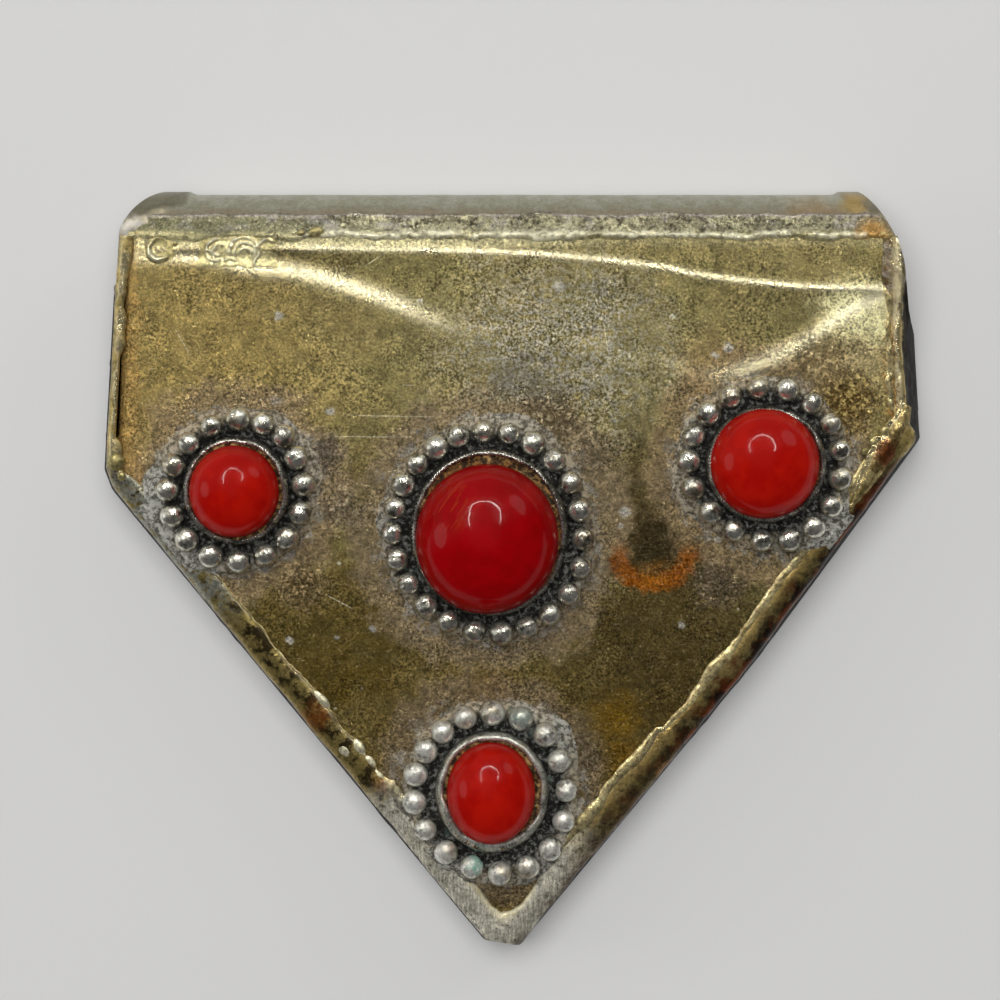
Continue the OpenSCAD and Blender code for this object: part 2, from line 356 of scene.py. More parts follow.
class Finish:
    """A node finish under construction: its colour so far, patterns and stains, in millimetres"""

    def __init__(self, name):
        self.material = bpy.data.materials.new(name)
        self.material.use_nodes = True
        self.tree = self.material.node_tree
        at = self.add("TexCoord", {}).outputs["Object"]
        self.place = self.add("Mapping", {"Vector": at, "Scale": (1000, 1000, 1000)}).outputs[0]
        self.colour = None

    def add(self, kind, inputs, **settings):
        """Adds a node, with colours given as their three shares"""
        node = add_node(self.tree, kind, {}, **settings)
        for key, value in inputs.items():
            self.put(node.inputs[key], value)
        return node

    def put(self, socket, value):
        """Joins a socket to another, or sets it"""
        if isinstance(value, bpy.types.NodeSocket):
            self.tree.links.new(value, socket)
        else:
            socket.default_value = (*value, 1) if socket.type == "RGBA" else value

    def sum(self, operation, a, b=0.0, clamp=False):
        return self.add("Math", {0: a, 1: b}, operation=operation, use_clamp=clamp).outputs[0]

    def times(self, a, b):
        return self.sum("MULTIPLY", a, b)

    def plus(self, a, b, clamp=False):
        return self.sum("ADD", a, b, clamp)

    def less(self, a, b, clamp=False):
        return self.sum("SUBTRACT", a, b, clamp)

    def most(self, a, b):
        return self.sum("MAXIMUM", a, b)

    def parts(self):
        """The place across, the place up and the height, as three sockets"""
        return list(self.add("SeparateXYZ", {0: self.place}).outputs)

    def own(self, name):
        """Value that the mesh keeps under name at each of its points"""
        return self.add("Attribute", {}, attribute_name=name).outputs["Fac"]

    def turned(self, at, scale, turn):
        """The place seen from a frame of its own"""
        inputs = {"Vector": self.place, "Location": at, "Rotation": (0, 0, math.radians(turn)), "Scale": scale}
        return self.add("Mapping", inputs, vector_type="TEXTURE").outputs[0]

    def grain(self, scale, detail, rough, stretch=None, twist=0.0):
        """Noise with scale lumps to the millimetre, or more or fewer along each axis by stretch, turned"""
        place = self.place
        if stretch:
            place = self.turned((0, 0, 0), [1 / share for share in stretch[:3]], stretch[3])
        inputs = {"Vector": place, "Scale": scale, "Detail": detail, "Roughness": rough, "Distortion": twist}
        return self.add("TexNoise", inputs).outputs["Fac"]

    def ease(self, value, low, high, out_low=0.0, out_high=1.0):
        """Maps low..high to out_low..out_high, softly"""
        inputs = dict(enumerate((value, low, high, out_low, out_high)))
        return self.add("MapRange", inputs, interpolation_type="SMOOTHSTEP").outputs[0]

    def cloud(self, scale, detail, rough, *span):
        """Noise eased over a span"""
        return self.ease(self.grain(scale, detail, rough), *span)

    def ragged(self, scale, detail, rough, half):
        """Noise from -half to half, which makes an edge ragged"""
        return self.cloud(scale, detail, rough, 0.25, 0.75, -half, half)

    def ring(self, value, rise, full, fall, end, strength=1):
        """Band that is strength from full to fall, and nothing before rise and after end"""
        return self.times(self.ease(value, rise, full, 0, strength), self.ease(value, fall, end, 1, 0))

    def reach(self, at, squash=(1, 1, 0), turn=0.0):
        """Distance from a place, in millimetres, with the axes scaled by squash"""
        away = self.turned((*at, 0), (1, 1, 1), turn)
        away = self.add("VectorMath", {0: away, 1: squash}, operation="MULTIPLY").outputs[0]
        return self.add("VectorMath", {0: away}, operation="LENGTH").outputs["Value"]

    def stain(self, at, inner, outer, strength=1.0, squash=(1, 1, 0), turn=0.0, ragged=None):
        """Mask that is strength inside inner and nothing outside outer"""
        away = self.reach(at, squash, turn)
        if ragged is not None:
            away = self.plus(away, ragged)
        return self.ease(away, inner, outer, strength, 0.0)

    def blend(self, share, a, b):
        """Colour a where share is 0 and b where it is 1"""
        node = self.add("Mix", {}, data_type="RGBA")
        for key, value in (("Factor", share), ("A", a), ("B", b)):
            self.put(node.inputs[key], value)
        return node.outputs["Result"]

    def over(self, share, tone):
        """Lays a tone over the colour where share is 1"""
        self.colour = self.blend(share, self.colour, tone)

    def spots(self, ragged, *rows):
        """Lays stains over the colour, each as at, inner, outer, strength, tone, and maybe squash and turn"""
        for at, inner, outer, strength, tone, *more in rows:
            self.over(self.stain(at, inner, outer, strength, *more, ragged=ragged), tone)

    def shade(self, colour, factor):
        """Colour made darker or lighter by factor"""
        return self.add("HueSaturation", {"Color": colour, "Value": factor}).outputs[0]

    def tint(self, factor):
        self.colour = self.shade(self.colour, factor)

    def done(self, metallic, rough, bump, depth, specular=0.5):
        """The material, with a bump between 0 and 1 that is depth millimetres deep"""
        normal = self.add("Bump", {"Distance": depth * 0.001, "Height": bump}).outputs[0]
        for key, value in (("Base Color", self.colour), ("Metallic", metallic), ("Roughness", rough),
                           ("Specular IOR Level", specular), ("Normal", normal)):
            self.put(self.tree.nodes["Principled BSDF"].inputs[key], value)
        return self.material


def front_finish():
    """Old brass with heat stains, grey flux haze, pits and fine scratches, and painted reflections and highlights"""
    f = Finish("old_brass_front")
    across, up = f.parts()[:2]
    ragged = f.ragged(0.40, 4.0, 0.65, 1.5)
    fine_ragged = f.ragged(1.6, 3.0, 0.6, 0.5)
    # broad tone: golden up at the left, olive in the middle, dark towards the tip and low on either side of the
    # middle; the golden and dark patches are a painted reflection, lighter up the face
    f.colour = f.blend(f.cloud(0.16, 3.0, 0.6, 0.38, 0.62), (0.32, 0.270, 0.105), (0.40, 0.325, 0.130))
    f.spots(ragged,
            ((-23, 13), 4, 17, 0.8, (0.46, 0.335, 0.110)),
            ((0, -24), 12, 31, 0.92, (0.165, 0.110, 0.024), (0.8, 1.0, 0)),
            ((11, -5), 3, 12, 0.8, (0.080, 0.052, 0.012)),
            ((-13, -4), 3, 8, 0.75, (0.115, 0.072, 0.007)))
    f.spots(fine_ragged,
            ((9.2, 5.0), 1.0, 3.8, 0.75, (0.070, 0.042, 0.014), (1.0, 0.55, 0), 12),
            ((-10.5, 6.0), 0.8, 2.6, 0.5, (0.18, 0.135, 0.045), (1.0, 0.4, 0), -20))
    # grey flux haze that runs down from the crest
    haze = f.stain((3.0, 15.2), 2.5, 9.0, 0.85, (0.80, 1.0, 0), ragged=ragged)
    haze = f.times(haze, f.cloud(2.8, 5.0, 0.8, 0.45, 0.58))
    f.over(haze, (0.45, 0.43, 0.365))
    f.spots(ragged, ((0.8, 12.0), 1.0, 4.5, 0.5, (0.17, 0.165, 0.140)))
    # tan and brown halos left by the torch round each setting, wrinkled
    crumb_grain = f.ease(f.grain(2.9, 4.0, 0.7, twist=0.8), 0.42, 0.58)
    wrinkle_tone = f.ease(crumb_grain, 0.0, 1.0, 0.84, 1.18)
    crumbs = 0.0
    halo_edge = f.ragged(0.55, 4.0, 0.65, 0.9)
    halo_tones = {"centre": (0.36, 0.272, 0.155), "left": (0.42, 0.31, 0.165),
                  "right": (0.39, 0.285, 0.145), "bottom": (0.27, 0.20, 0.11)}
    for name, (x, y, r) in setting_middles.items():
        away = f.plus(f.reach((x, y)), halo_edge)
        halo = f.ring(away, r - 1.2, r - 0.2, r + 1.3, r + 2.7, 0.88)
        f.over(halo, f.shade(halo_tones[name], wrinkle_tone))
        crumbs = f.most(crumbs, f.times(halo, 0.3))
        rough_rim = f.times(f.ease(away, r - 0.1, r + 0.9, 1, 0), f.cloud(1.5, 4.0, 0.7, 0.42, 0.56))
        f.over(rough_rim, (0.46, 0.425, 0.36))
    # orange heat stain in the shape of a U, dark inside, and smaller orange ones
    u_away = f.plus(f.reach((9.6, 1.4), (0.92, 1.0, 0)), f.times(fine_ragged, 0.6))
    u_ring = f.times(f.ring(u_away, 1.3, 1.9, 2.5, 3.1), f.ease(up, 0.8, 2.4, 0.85, 0))
    f.spots(fine_ragged, ((9.6, 1.9), 1.0, 2.2, 0.9, (0.045, 0.030, 0.011)))
    f.over(u_ring, (0.36, 0.095, 0.003))
    f.spots(fine_ragged,
            ((7.2, -10.0), 0.2, 2.6, 0.7, (0.27, 0.145, 0.006)), ((7.6, -12.6), 0.2, 2.2, 0.6, (0.24, 0.12, 0.006)),
            ((13.5, 14.0), 0.5, 3.2, 0.5, (0.42, 0.27, 0.12)), ((9.7, -0.4), 0.1, 1.6, 0.5, (0.45, 0.17, 0.015)),
            ((23.0, 15.0), 0.8, 4.4, 0.65, (0.62, 0.50, 0.26)), ((-1.5, -8.3), 0.4, 2.6, 0.45, (0.27, 0.165, 0.07)),
            ((-23.5, 9.8), 0.4, 3.2, 0.3, (0.46, 0.33, 0.16)))
    # painted highlight: a yellow glow where the crest and the right crease run out at the rim
    painted_glow = f.stain((23.9, 17.8), 0.8, 2.9, 0.9, (0.62, 1.0, 0), -8, f.times(fine_ragged, 0.7))
    f.over(painted_glow, (1.0, 0.93, 0.50))
    # painted light: a pale band in the dip behind the crest, strongest towards the left, lifts the shade there
    painted_light_behind_crest = f.times(f.ease(up, 21.9, 22.3, 0, 0.85), f.ease(across, -2.0, 8.0, 1, 0.3))
    f.over(painted_light_behind_crest, (0.74, 0.67, 0.38))
    # orange bloom along the left edge and the right edge of the sheet
    f.over(f.ease(f.plus(across, fine_ragged), -26.1, -24.8, 0.55, 0), (0.56, 0.33, 0.10))
    f.over(f.ease(f.plus(across, fine_ragged), 25.0, 26.2, 0, 0.7), (0.55, 0.26, 0.06))
    # gold crumbs beside the right setting, and duller ones beside the others
    for at, inner, outer, strength, dark, light in [
            ((22.6, 11.6), 0.8, 3.0, 1.0, (0.14, 0.08, 0.02), (0.90, 0.66, 0.24)),
            ((20.6, 14.2), 0.5, 2.8, 0.7, (0.30, 0.20, 0.08), (0.85, 0.66, 0.34)),
            ((2.6, 10.4), 0.8, 2.9, 0.85, (0.18, 0.13, 0.06), (0.60, 0.49, 0.30)),
            ((5.6, 8.0), 0.5, 2.6, 0.6, (0.20, 0.15, 0.08), (0.56, 0.46, 0.31)),
            ((-12.8, 8.0), 0.4, 2.2, 0.7, (0.16, 0.12, 0.09), (0.50, 0.43, 0.34)),
            ((-11.6, 4.3), 0.3, 2.2, 0.6, (0.20, 0.15, 0.09), (0.52, 0.44, 0.33)),
            ((-14.3, -1.0), 0.4, 2.4, 0.8, (0.15, 0.10, 0.04), (0.60, 0.44, 0.22)),
            ((11.0, 5.6), 0.4, 2.0, 0.5, (0.20, 0.14, 0.08), (0.52, 0.42, 0.29)),
            ((14.0, -0.6), 0.5, 2.6, 0.6, (0.14, 0.10, 0.06), (0.42, 0.33, 0.23)),
            ((4.6, -12.5), 0.4, 2.4, 0.5, (0.12, 0.09, 0.05), (0.40, 0.32, 0.21))]:
        zone = f.stain(at, inner, outer, strength, ragged=fine_ragged)
        f.over(zone, f.blend(crumb_grain, dark, light))
        crumbs = f.most(crumbs, zone)
    # sandy speckle, pits, flecks, hairlines, spots and scratches
    bright_speck = f.blend(0.22, f.shade(f.colour, 2.1), (0.86, 0.76, 0.45))
    f.over(f.cloud(5.2, 3.0, 0.75, 0.57, 0.68, 0.0, 0.85), bright_speck)
    f.over(f.cloud(3.3, 4.0, 0.8, 0.34, 0.46, 0.60, 0.0), (0.050, 0.036, 0.011))
    f.over(f.cloud(0.95, 2.0, 0.5, 0.735, 0.775, 0.0, 0.75), (0.75, 0.73, 0.62))
    for x, y, half, way in [
            (-8.2, 10.6, 3.9, -1), (-9.6, 9.2, 3.3, -0.5), (-7.1, 12.7, 0.5, 0), (6.3, 16.1, 1.6, -82),
            (5.7, 18.4, 0.9, -73), (4.8, 18.0, 0.7, 31), (-9.4, 21.2, 1.1, 33), (-22.4, 15.6, 1.3, -60),
            (-7.6, 7.0, 1.2, 12), (-11.9, -2.0, 1.4, -28)]:
        f.over(f.ease(f.reach((x, y), (1 / half, 18, 0), way), 0.5, 1.0, 0.75, 0), (0.80, 0.74, 0.52))
    spot_edge = f.ragged(2.6, 3.0, 0.6, 0.16)
    for x, y, r in [
            (-15.2, -4.7, 0.26), (-9.5, -3.9, 0.30), (-12.0, -4.5, 0.16), (14.7, 15.2, 0.36), (13.8, 14.7, 0.26),
            (7.6, 4.1, 0.36), (7.4, 3.2, 0.24), (-15.9, 17.4, 0.30), (11.6, -3.6, 0.26), (3.1, 19.4, 0.40),
            (-12.4, 10.9, 0.30), (2.9, -11.1, 0.24)]:
        f.spots(spot_edge, ((x, y), r * 0.5, r * 1.2, 0.85, (0.66, 0.63, 0.55)))
    for way, strength in [(4, 0.35), (61, 0.25), (-47, 0.25)]:
        scratch = f.less(f.grain(1.0, 1.0, 0.4, stretch=(0.30, 9.0, 1.0, way)), 0.62)
        f.over(f.ease(f.sum("ABSOLUTE", scratch), 0.0, 0.006, strength, 0.0), (0.78, 0.70, 0.46))
    sand = f.grain(5.6, 4.0, 0.7)
    coarse = f.cloud(0.28, 3.0, 0.6, 0.40, 0.60, 0.30, 0.72)
    f.tint(f.ease(sand, 0.36, 0.64, f.less(1.0, coarse), f.plus(1.0, coarse)))
    f.tint(f.cloud(1.0, 5.0, 0.65, 0.36, 0.64, 0.78, 1.22))
    # rubbed metal and a painted highlight: a bright, less rough tone laid along the creases and the crest
    wear_and_sheen_share = f.times(f.own("wear_and_sheen"), f.ease(sand, 0.32, 0.50, 0.6, 1.0))
    f.over(f.times(wear_and_sheen_share, 0.9), f.shade((0.98, 0.90, 0.60), f.ease(sand, 0.38, 0.60, 0.55, 1.0)))
    metal = f.less(f.plus(0.60, f.times(wear_and_sheen_share, 0.37)), f.times(painted_glow, 0.40), clamp=True)
    rough = f.plus(f.cloud(0.6, 4.0, 0.6, 0.3, 0.7, 0.25, 0.36), f.times(haze, 0.15))
    rough = f.less(rough, f.times(wear_and_sheen_share, 0.03))
    bump = f.plus(sand, f.times(f.times(crumbs, crumb_grain), 3.0))
    bump = f.times(bump, f.less(1.0, f.times(f.own("wear_and_sheen"), 0.35)))
    return f.done(metal, rough, bump, 0.045, 0.1)


def case_finish(name, light, dark, pits, metallic=0.6, rough_span=(0.28, 0.45), dark_share=0.5, layers=None,
                bright=(0.98, 0.86, 0.52), bump=0.06, mottle=0.9, grit=(0.60, 1.42), sheen_metal=0.95):
    """Old brass of the body: a light and a dark tone, mottled and pitted, bright where it is worn and where a
    highlight is painted
    """
    f = Finish(name)
    f.colour = f.blend(f.cloud(mottle, 4.0, 0.65, dark_share - 0.12, dark_share + 0.12), light, dark)
    matt = layers(f) if layers else 0.0
    f.tint(f.cloud(4.2, 3.0, 0.7, 0.32, 0.68, *grit))
    f.over(f.cloud(2.4, 4.0, 0.75, 0.36, 0.46, pits, 0.0), (0.03, 0.026, 0.018))
    # rubbed metal and a painted highlight: the bright tone laid where the piece is marked for it
    rubbed_and_sheen = f.times(f.own("wear_and_sheen"), f.cloud(2.2, 3.0, 0.7, 0.36, 0.50, 0.35, 1.0))
    f.over(rubbed_and_sheen, bright)
    metal = f.plus(f.less(metallic, f.times(matt, metallic)), f.times(rubbed_and_sheen, sheen_metal - metallic), clamp=True)
    rough = f.plus(f.cloud(0.9, 3.0, 0.6, 0.3, 0.7, *rough_span), f.times(matt, 0.35))
    return f.done(metal, f.less(rough, f.times(rubbed_and_sheen, 0.08)), f.grain(2.2, 5.0, 0.7), bump, 0.15)


brass_front = front_finish()
brass = case_finish("old_brass", (0.42, 0.34, 0.15), (0.16, 0.125, 0.05), 0.5)

front = bmesh.new()
bmesh.ops.create_grid(front, x_segments=176, y_segments=200, size=1)
for v in front.verts:
    # its rows crowd together at the crest
    x, t = v.co.x * sheet_half, (v.co.y - crest_row) / (rows_above if v.co.y > crest_row else rows_below)
    crest_y = follow(crest, x, 1)
    span = front_top - crest_y if t > 0 else crest_y - front_bottom
    v.co.x, v.co.y = x, crest_y + span * t * (crowd + (1 - crowd) * abs(t))
cut_outline(front, front_insets)
sections = {}
wear_and_sheen = front.verts.layers.float.new("wear_and_sheen")
left_point, left_inward = inset_line(0, left_turn_down)
for v in front.verts:
    x, y = v.co.x, v.co.y
    crest_y = follow(crest, x, 1)
    key = round(x, 2)
    if key not in sections:
        sections[key] = sheet_section(x)
    ease = crest_ease + more_ease * min(abs(y - crest_y) / ease_reach, 1)
    z = height_in(sections[key], y, ease)
    for size, depth in unevenness:
        z += depth * waver(x / size, y / size, size)
    # its left edge is turned down inside the open seam
    v.co.z = z
    v.co.z += left_turn_slope * min((v.co.to_2d() - left_point).dot(left_inward), 0)
    # rubbed bright and painted with a highlight along the creases and along the crest
    above = y - min(follow(crease, x, 1), crest_y - crease_gap) - shine_above
    on_crease = min(max(follow(crease, x, 3), 0) / full_shine_drop, 1) * hill(above / crease_shine)
    on_crest = clamp((x - shine_from) / 3) * hill((y - crest_y - 0.10) / crest_shine)
    v[wear_and_sheen] = min(on_crease + on_crest, 1)
bmesh.ops.recalc_face_normals(front, faces=front.faces)
turn_faces(front, upwards)
set_down(front, "front_sheet", brass_front, "brass_case", sheet_t)

# Side walls of the case, bent up from the back in one sheet. Their top edge is
# folded in over the front sheet as a rounded rim and soldered down, not evenly.
wall_t = 0.45
bend_r = 1.2
wall_leans = [9.5, 9, 7.5, 8, 7.5, 8.5, 17]
fold_widths = [0.45, 0.8, 1.35, 1.3, 1.35, 1.25, 0.35]
rim_insets = [1.62, 1.9, 2.35, 2.6, 2.4, 2.55, 2.75]
rim_rise = 0.28
# Rounding of the fold at its highest, and how far the rim's edge dips under the solder
fold_drop, edge_fall, edge_dip = 0.95, 0.16, 0.22
# The rim sinks under the solder at the tube: how far, from where up, over what run
rim_sink, sink_from, sink_run = 0.42, 20.6, 1.8
# Step in the lower right rim: size, and where along that side it starts and ends
rim_step, step_start, step_end = 0.30, 4, 17.8
# The right wall stands more upright towards the tube: degrees, from where up, over what run
upright_more, upright_from, upright_run = 5, 14, 3
corner_run = 1.6
tip_bow, tip_bow_r = Vector((-0.49, -22.15)), 1.1
station_gap = 0.2
wall_lengths = [(case_corners[i + 1] - case_corners[i]).length for i in range(7)]
wall_ways = [(case_corners[i + 1] - case_corners[i]).normalized() for i in range(7)]
wall_starts = [sum(wall_lengths[:i]) for i in range(7)]
wall_turns = [0] + [wall_ways[i].angle(wall_ways[i + 1]) for i in range(6)] + [0]
wall_steps = [max(round(length / station_gap), 6) for length in wall_lengths]
stations = [wall_starts[i] + wall_lengths[i] * j / wall_steps[i] for i in range(7) for j in range(wall_steps[i])]
stations.append(wall_starts[6] + wall_lengths[6])
# Rows of the wall on the back of the case and round the bend, as inset and height
foot_rows = [(1.75, 0.0), (1.45, 0.0)]
foot_rows += [(bend_r - bend_r * math.cos(math.radians(a)), bend_r + bend_r * math.sin(math.radians(a)))
              for a in (-90, -70, -50, -30, -12)]
rise_steps, fold_steps, rim_steps = 12, 7, 4
fold_row = len(foot_rows) + rise_steps
row_count = fold_row + fold_steps + rim_steps
# The tube's ends are rounded in plan: middle, radius and side of each arc, and how far
# inside the outline its side stands
end_arcs = [(-22.3, 21.59, 4.7, -1, 0.8), (16.4, 18.5, 10.5, 1, 1.15)]


def eased_along(values, s):
    """Value along the outline, changing softly from side to side over the corners"""
    value = values[0]
    for i in range(1, 7):
        t = clamp((s - wall_starts[i]) / corner_run + 0.5)
        value += (values[i] - values[i - 1]) * t * t * (3 - 2 * t)
    return value


def under_tube(i, z):
    """How far below a corner at the tube a wall ends at height z"""
    if z > tube_z + tube_r - 0.4:
        return case_corners[i].y - lap_y
    return case_corners[i].y - (tube_y - math.sqrt(max(tube_r ** 2 - (z - tube_z) ** 2, 0)))


def plan_point(s, inset, z):
    """Place in plan of a point on the wall: s along the outline, drawn in by inset"""
    i = max(j for j in range(7) if s >= wall_starts[j] - 1e-9)
    start, length = s - wall_starts[i], wall_lengths[i]
    first = under_tube(0, z) if i == 0 else inset * math.tan(wall_turns[i] / 2)
    last = under_tube(7, z) if i == 6 else inset * math.tan(wall_turns[i + 1] / 2)
    way = wall_ways[i]
    along = first + (length - first - last) * start / length
    return case_corners[i] + way * along + Vector((-way.y, way.x)) * inset


def end_limit(y, side):
    """How far out the rounded end on the left (-1) or the right (1) lets the case reach at y"""
    x0, y0, r, side, inside = end_arcs[0 if side < 0 else 1]
    if y > y0:
        return side * x0 + math.sqrt(max(r * r - (y - y0) ** 2, 0))
    t = (y0 - y) / 3.2
    return side * x0 + r + inside * 1.5 * t * t * (3 - 2 * t) if t < 1 else 99


def rim_at(s):
    """Inset of the rim's inner edge and height of the rim's top at s"""
    rough_place = plan_point(s, 2.4, 3)
    x, y = min(max(rough_place.x, -26.8), 26.8), min(rough_place.y, 22.8)
    top = sheet_height(x, y) + rim_rise + 0.10 * waver(s / 1.9, 3.1, 0)
    # it sinks towards the tube and goes under the solder there
    top -= rim_sink * clamp((y - sink_from) / sink_run)
    rim = eased_along(rim_insets, s)
    rim += 0.30 * waver(s / 3.6, 0, 0) + 0.12 * waver(s / 1.1, 7, 0)
    rim += 0.05 * waver(s / 0.35, 4, 0)
    # a step half-way down the lower right side
    rim += rim_step * clamp((wall_starts[4] + step_end - s) / 0.4) * clamp((s - wall_starts[4] - step_start) / 3)
    # the left seam gapes in the middle, and its upper end is hammered shut
    if s < wall_lengths[0]:
        y = plan_point(s, 1.5, 3).y
        rim += 0.18 + 0.17 * clamp((y - 17.5) / 2.0) - 0.54 * clamp((13.2 - y) / 1.0)
        rim += 0.75 * clamp((9.2 - y) / 1.0)
    return rim, top


def rim_edge(s, inset):
    """Place in plan of the rim's inner edge, which runs round the tip in a bow"""
    place = plan_point(s, inset, 7)
    away = place - tip_bow
    if away.y < 0 and abs(away.x) < 1.2 * abs(away.y) and away.length > tip_bow_r:
        place = tip_bow + away * (tip_bow_r / away.length)
    return place


def wall_point(s, row):
    """Place of a point on the case's side wall"""
    upright = upright_more * clamp((plan_point(s, 0, 3).y - upright_from) / upright_run) if s > wall_starts[6] else 0
    lean = math.tan(math.radians(eased_along(wall_leans, s) - upright))
    fold = eased_along(fold_widths, s)
    drop = min(fold, fold_drop)
    rim, top = rim_at(s)
    start = (top - drop - bend_r) * lean
    edge = None
    if row < len(foot_rows):
        inset, z = foot_rows[row]
    elif row < fold_row:
        t = (row - len(foot_rows) + 1) / rise_steps
        z = bend_r + (top - drop - bend_r) * t
        inset = (z - bend_r) * lean
    elif row < fold_row + fold_steps:
        a = math.radians(90 * (row - fold_row + 1) / fold_steps)
        inset = start + fold * (1 - math.cos(a))
        z = top - drop + drop * math.sin(a)
    else:
        t = (row - fold_row - fold_steps + 1) / rim_steps
        inset = start + fold
        edge = rim_edge(s, max(rim, inset + 0.12))
        dip = clamp((s - wall_starts[6]) / 2)
        z = top - edge_fall * t * t - edge_dip * dip * math.sin(math.pi * min(t * 1.2, 1))
    if row > len(foot_rows) + 1:
        inset += 0.09 * waver(s / 3.0, z / 3.0, 1) + 0.05 * waver(s / 0.9, z / 0.9, 2)
    place = plan_point(s, inset, z)
    if edge is not None:
        place = place.lerp(edge, t)
    if abs(place.x) > 20:
        side = math.copysign(1, place.x)
        place.x = side * min(side * place.x, end_limit(place.y, side) - (inset if z < bend_r else 0))
    return Vector((place.x, place.y, max(z, 0)))


def wall_layers(f):
    """Painted shade, black, low on the walls, red-brown and gold across the rim, grey and filed at the tip"""
    ragged = f.ragged(0.8, 4.0, 0.65, 0.35)
    across, up_face, height = f.parts()
    right = f.ease(across, 2.0, 6.0)
    lower = f.ease(up_face, 8.5, 6.0)
    band = f.plus(f.own("band"), f.times(ragged, 0.6))
    # the rim of the lower right side: dark red-brown outside, brownish gold inside
    low_right = f.times(right, lower)
    red = f.times(low_right, f.ease(band, 0.30, 0.72, 1, 0))
    red = f.times(red, f.ease(up_face, -19.0, -9.0, 0.35, 1.0))
    red_tone = f.blend(f.cloud(0.5, 3.0, 0.6, 0.42, 0.58), (0.022, 0.012, 0.008), (0.17, 0.042, 0.010))
    f.over(f.times(f.times(low_right, f.ease(band, 0.45, 0.75)), 0.7), (0.42, 0.29, 0.095))
    f.over(red, red_tone)
    # the rim of the lower left side: olive gold outside, dark brown and spotted inside
    left_low = f.times(f.less(1.0, right), lower)
    dark_patch = f.times(f.cloud(1.1, 4.0, 0.7, 0.44, 0.54), f.ease(band, 0.25, 0.5))
    f.over(f.times(left_low, 0.7), (0.36, 0.27, 0.085))
    f.over(f.times(left_low, dark_patch), (0.050, 0.036, 0.014))
    f.spots(ragged,
            ((-13.4, -9.9), 0.3, 1.5, 0.8, (0.28, 0.085, 0.016)),
            ((-8.8, -14.5), 0.3, 1.3, 0.6, (0.24, 0.08, 0.02)))
    # orange-red line along the dip of the right rim, its ridge left bright
    upper_right = f.times(f.ease(across, 22.0, 24.0), f.ease(up_face, 7.5, 9.0))
    f.over(f.times(upper_right, f.ease(up_face, 20.5, 17.5, 0, 0.7)), (0.70, 0.53, 0.19))
    dip = f.ring(band, 0.62, 0.72, 0.86, 0.96)
    f.over(f.times(f.times(upper_right, dip), 0.8), (0.32, 0.13, 0.035))
    # filed grey metal at the tip, brushed up and down, and a burnt lower edge
    brushed = f.ease(f.grain(1.0, 3.0, 0.7, stretch=(8.0, 1.2, 0.7, 0)), 0.34, 0.66)
    filed_tone = f.blend(brushed, (0.45, 0.42, 0.33), (0.88, 0.84, 0.70))
    filed = f.most(f.stain((-1.8, -24.5), 5.0, 9.5, 0.95, (1.0, 0.8, 0), -25, ragged),
                   f.stain((-8.2, -18.8), 2.2, 5.0, 0.9, ragged=ragged))
    f.over(filed, f.shade(filed_tone, f.cloud(0.6, 3.0, 0.6, 0.36, 0.64, 0.72, 1.05)))
    f.spots(ragged, ((1.4, -26.2), 0.6, 2.2, 0.9, (0.075, 0.045, 0.022)))
    f.over(f.times(f.ease(band, 0.10, 0.55, 0.85, 0), f.stain((6.5, -20.0), 5.0, 7.0)), (0.075, 0.040, 0.022))
    # pinkish filings and dark spots over the upper right end
    flecks = f.times(f.cloud(2.3, 4.0, 0.7, 0.48, 0.56), f.stain((26.8, 20.5), 2.2, 4.2, 0.75))
    f.over(f.times(f.stain((26.8, 20.5), 2.2, 4.2, 0.6), 0.8), (0.10, 0.082, 0.048))
    f.over(flecks, (0.50, 0.43, 0.36))
    # frost on the lower left corner
    frost = f.stain((-24.5, 1.5), 3.0, 6.5, 0.95, (1.0, 0.8, 0), 40, ragged)
    f.over(f.times(frost, f.cloud(1.7, 4.0, 0.7, 0.40, 0.52)), (0.40, 0.40, 0.33))
    # the folded edge of the left side, rubbed golden in patches
    left_edge = f.times(f.ease(across, -24.6, -25.6), f.ease(up_face, 7.5, 9.0))
    f.over(f.times(left_edge, f.cloud(0.8, 3.0, 0.6, 0.38, 0.56, 0.25, 0.8)), (0.66, 0.50, 0.19))
    # painted shade: black under the fold, reaching higher on the right wall by the tube
    fall = f.less(height, f.times(up_face, face_slope))
    up = f.plus(f.less(fall, 5.3), ragged)
    painted_shade = f.ease(up, f.times(right, 0.25), f.plus(0.12, f.times(right, 0.45)), 1.0, 0)
    right_wall_shade = f.times(f.ease(across, 25.6, 26.1), f.ease(up_face, 8.0, 10.0))
    painted_shade = f.most(painted_shade, f.times(right_wall_shade, f.ease(up, 0.95, 1.25, 0.95, 0)))
    f.over(painted_shade, (0.012, 0.009, 0.007))
    return f.most(painted_shade, f.times(filed, 0.5))


